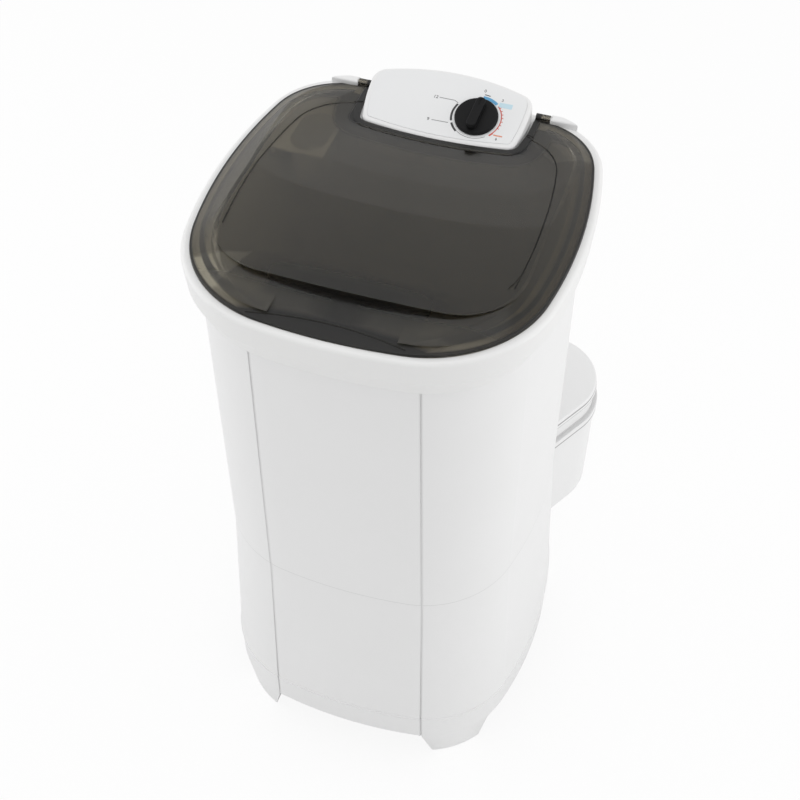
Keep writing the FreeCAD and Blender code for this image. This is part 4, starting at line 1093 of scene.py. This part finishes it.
@dataclass
class LidDress(SubAssembly):
    """The smoked lid with dark strips of painted shade: along the finger scoop and in the groove round its
    middle.
    """

    left: float = -93.6
    right: float = 76.4
    line_back: float = -246.8
    line_bend: float = 352.6
    stops: Pair = (106.0, 114.0)
    half_width: float = 0.75
    thick: float = 0.2
    above: float = 1.0
    steps: int = 72

    def lay(self, name: str, path: np.ndarray) -> None:
        """Lay a dark line of painted shade on the lid: a flat strip along a path in plan, at the height of
        the lid's top below it.

        Args:
            name: The piece's name.
            path: Points in plan, in millimetres of the row frame.
        """
        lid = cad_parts["lid"]
        down = Vector((0.0, 0.0, -1.0))
        hits = [lid.ray_cast(Vector((x * MM, y * MM, self.above)), down) for x, y in path]
        landed = np.array([hit[0] for hit in hits])
        high = np.array([hit[1].z for hit in hits])[landed] / MM
        path = path[landed]
        lean = np.gradient(path, axis=0)
        side = np.stack([-lean[:, 1], lean[:, 0]], -1) / np.hypot(*lean.T)[:, None] * self.half_width
        plan = path[:, None, :] + side[:, None, :] * STRIP_SIDES[:, None]
        level = high[:, None] + STRIP_LEVELS * self.thick
        piece = Shaper.swept(name, np.concatenate([plan, level[..., None]], -1) * MM, LID_SHADE_LINE)
        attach(piece, "lid_body")
        LOG.info("%s: %s", self.title, piece.name)

    def build(self) -> None:
        """Lay the painted shade lines: the scoop's line, an arc in plan, and both halves of the contour line.
        """
        bpy.context.view_layer.update()
        middle = (self.left + self.right) / 2
        across = np.linspace(self.left, self.right, self.steps)
        back = self.line_back - (across - middle) ** 2 / (2 * self.line_bend)
        self.lay("lid_lip_line", np.stack([across, back], -1))
        shift = np.array(CABINET_MIDDLE[:2]) / MM
        halves = (("lid_line_left", self.stops[0], -1.0), ("lid_line_right", self.stops[1], 1.0))
        for name, stop, sign in halves:
            self.lay(name, ContourPlan().trace(stop) * np.array([sign, 1.0]) + shift)


@dataclass(frozen=True)
class SoftLight:
    """A square soft light: its place and what it faces, and its side, in metres, and its power in watts."""

    name: str
    place: Point
    target: Point
    size: float
    watts: float

    def hang(self) -> None:
        """Hang the light where the camera doesn't see it."""
        lamp = bpy.data.lights.new(self.name, "AREA")
        lamp.shape = "SQUARE"
        lamp.size = self.size
        lamp.energy = self.watts
        holder = put(self.name, lamp)
        holder.location = self.place
        holder.rotation_euler = (Vector(self.target) - Vector(self.place)).to_track_quat("-Z", "Y").to_euler()
        holder.visible_camera = False


LIGHTS = (
    SoftLight("light_top", (0.0, -0.3, 3.0), (0.0, 0.0, 0.6), 2.2, 8.0),
    SoftLight("light_right", (2.4, 0.5, 1.1), (0.0, 0.0, 0.5), 1.6, 12.5),
    SoftLight("light_left", (-2.4, -0.1, 1.1), (0.0, 0.0, 0.5), 1.6, 10.0),
)


@dataclass
class Studio:
    """The floor, the soft lights, the pale surroundings and the camera."""

    floor_half: float = 7.0
    floor_points: int = 9
    floor_tone: Colour = (0.95, 0.95, 0.95)
    floor_glow: float = 0.9
    sky: float = 0.755
    seen_sky: float = 1.0
    eye: Point = (0.3684, -1.1445, 1.7855)
    gaze: Point = (-0.2127, 0.6344, -0.7432)
    lens: float = 61.75
    sensor: float = 36.0

    def lay_floor(self) -> None:
        """Lay a level floor that the camera sees mostly as plain white, so that its shadow stays soft."""
        side = np.linspace(-self.floor_half, self.floor_half, self.floor_points)
        across, along = np.meshgrid(side, side, indexing="ij")
        points = np.stack([across, along, np.zeros_like(across)], -1).reshape(-1, 3)
        faces = Shaper.quads(self.floor_points, self.floor_points, False)[:, ::-1]
        mesh = bpy.data.meshes.new("floor")
        mesh.from_pydata(points.tolist(), [], faces.tolist())
        material = bpy.data.materials.new("floor_pale")
        material.use_nodes = True
        bench = Bench(material.node_tree)
        matt, glow = bench.add("BsdfDiffuse"), bench.add("Emission")
        matt.inputs["Color"].default_value = (*self.floor_tone, 1.0)
        bench.fill(glow, {"Color": PLAIN_WHITE, "Strength": 1.0})
        camera_ray = bench.add("LightPath").outputs["Is Camera Ray"]
        bench.choose(bench.math("MULTIPLY", camera_ray, self.floor_glow), matt, glow, "OutputMaterial")
        mesh.materials.append(material)
        floor = put("floor", mesh)

    def surround(self) -> None:
        """Make an even sky as light, and plain white where it is seen, mirrored or looked through."""
        world = bpy.data.worlds.new("pale_room")
        world.use_nodes = True
        bench = Bench(world.node_tree)
        even, white = bench.add("Background"), bench.add("Background")
        bench.fill(even, {"Color": PLAIN_WHITE, "Strength": self.sky})
        bench.fill(white, {"Color": PLAIN_WHITE, "Strength": self.seen_sky})
        rays = bench.add("LightPath").outputs
        seen = bench.fold("MAXIMUM", rays["Is Camera Ray"], rays["Is Glossy Ray"],
                          rays["Is Transmission Ray"])
        bench.choose(seen, even, white, "OutputWorld")
        bpy.context.scene.world = world

    def aim(self) -> None:
        """Set the camera at the photograph's place and angle."""
        data = bpy.data.cameras.new("camera")
        data.lens = self.lens
        data.sensor_width = self.sensor
        camera = put("camera", data)
        camera.location = self.eye
        camera.rotation_euler = Vector(self.gaze).to_track_quat("-Z", "Y").to_euler()
        bpy.context.scene.camera = camera

    def build(self) -> None:
        """Set up the studio."""
        self.lay_floor()
        for light in LIGHTS:
            light.hang()
        self.surround()
        self.aim()
        bpy.context.scene.view_settings.view_transform = "Standard"
        LOG.info("studio: floor, lights, surroundings and camera")


def sub_assemblies() -> list[SubAssembly]:
    """List the machine's groups with the finish of each of their solids."""
    return [
        SubAssembly("cabinet", {
            "upper_cabinet": WALL_WHITE, "base": WALL_WHITE, "foot_pads": PAD_RUBBER,
            "hose_clip": SHELL_WHITE, "cord_gland": DARK_PLASTIC, "drain_grommet": PAD_RUBBER}),
        SubAssembly("tub", {
            "wash_tub": TUB_WHITE, "soap_cup": CUP_WHITE, "drain_strainer": AGITATOR_GREY,
            "drain_pipe": DARK_PLASTIC}),
        LidDress("lid", {"lid": SMOKED_LID, "hinge_pins": SHAFT_STEEL, "hinge_blocks": SHELL_WHITE}),
        DialPrint("control panel", {
            "console": SHELL_WHITE, "fascia": FASCIA_WHITE, "knob": KNOB_BLACK, "timer_shaft": DARK_PLASTIC,
            "timer": DARK_PLASTIC, "console_screws": ZINC_STEEL}),
        SubAssembly("wash drive", {
            "agitator": AGITATOR_GREY, "agitator_screw": ZINC_STEEL, "agitator_shaft": SHAFT_STEEL,
            "bearing_housing": DARK_PLASTIC, "housing_screws": ZINC_STEEL, "bearing_bushes": BUSH_BRONZE,
            "shaft_seal": PAD_RUBBER, "driven_pulley": PULLEY_PLASTIC, "pulley_nut": ZINC_STEEL,
            "motor_pulley": PULLEY_PLASTIC, "drive_belt": BELT_RUBBER}),
        SubAssembly("motor tower", {
            "tower_pot": TOWER_WHITE, "vent_ring": TOWER_WHITE, "tower_cap": TOWER_WHITE,
            "motor_plate": ZINC_STEEL, "motor_screws": ZINC_STEEL, "motor_bells": BELL_ALUMINIUM,
            "motor_stator": STATOR_IRON, "motor_windings": WINDING_COPPER, "rotor": SHAFT_STEEL,
            "motor_fan": DARK_PLASTIC, "capacitor": BELL_ALUMINIUM, "capacitor_clip": DARK_PLASTIC}),
    ]


def main() -> None:
    """Dress the solids, add the new pieces and set up the studio."""
    logging.basicConfig(level=logging.INFO, format="%(message)s")
    for group in sub_assemblies():
        group.dress()
        group.build()
    Studio().build()


if __name__ == "__main__":
    main()
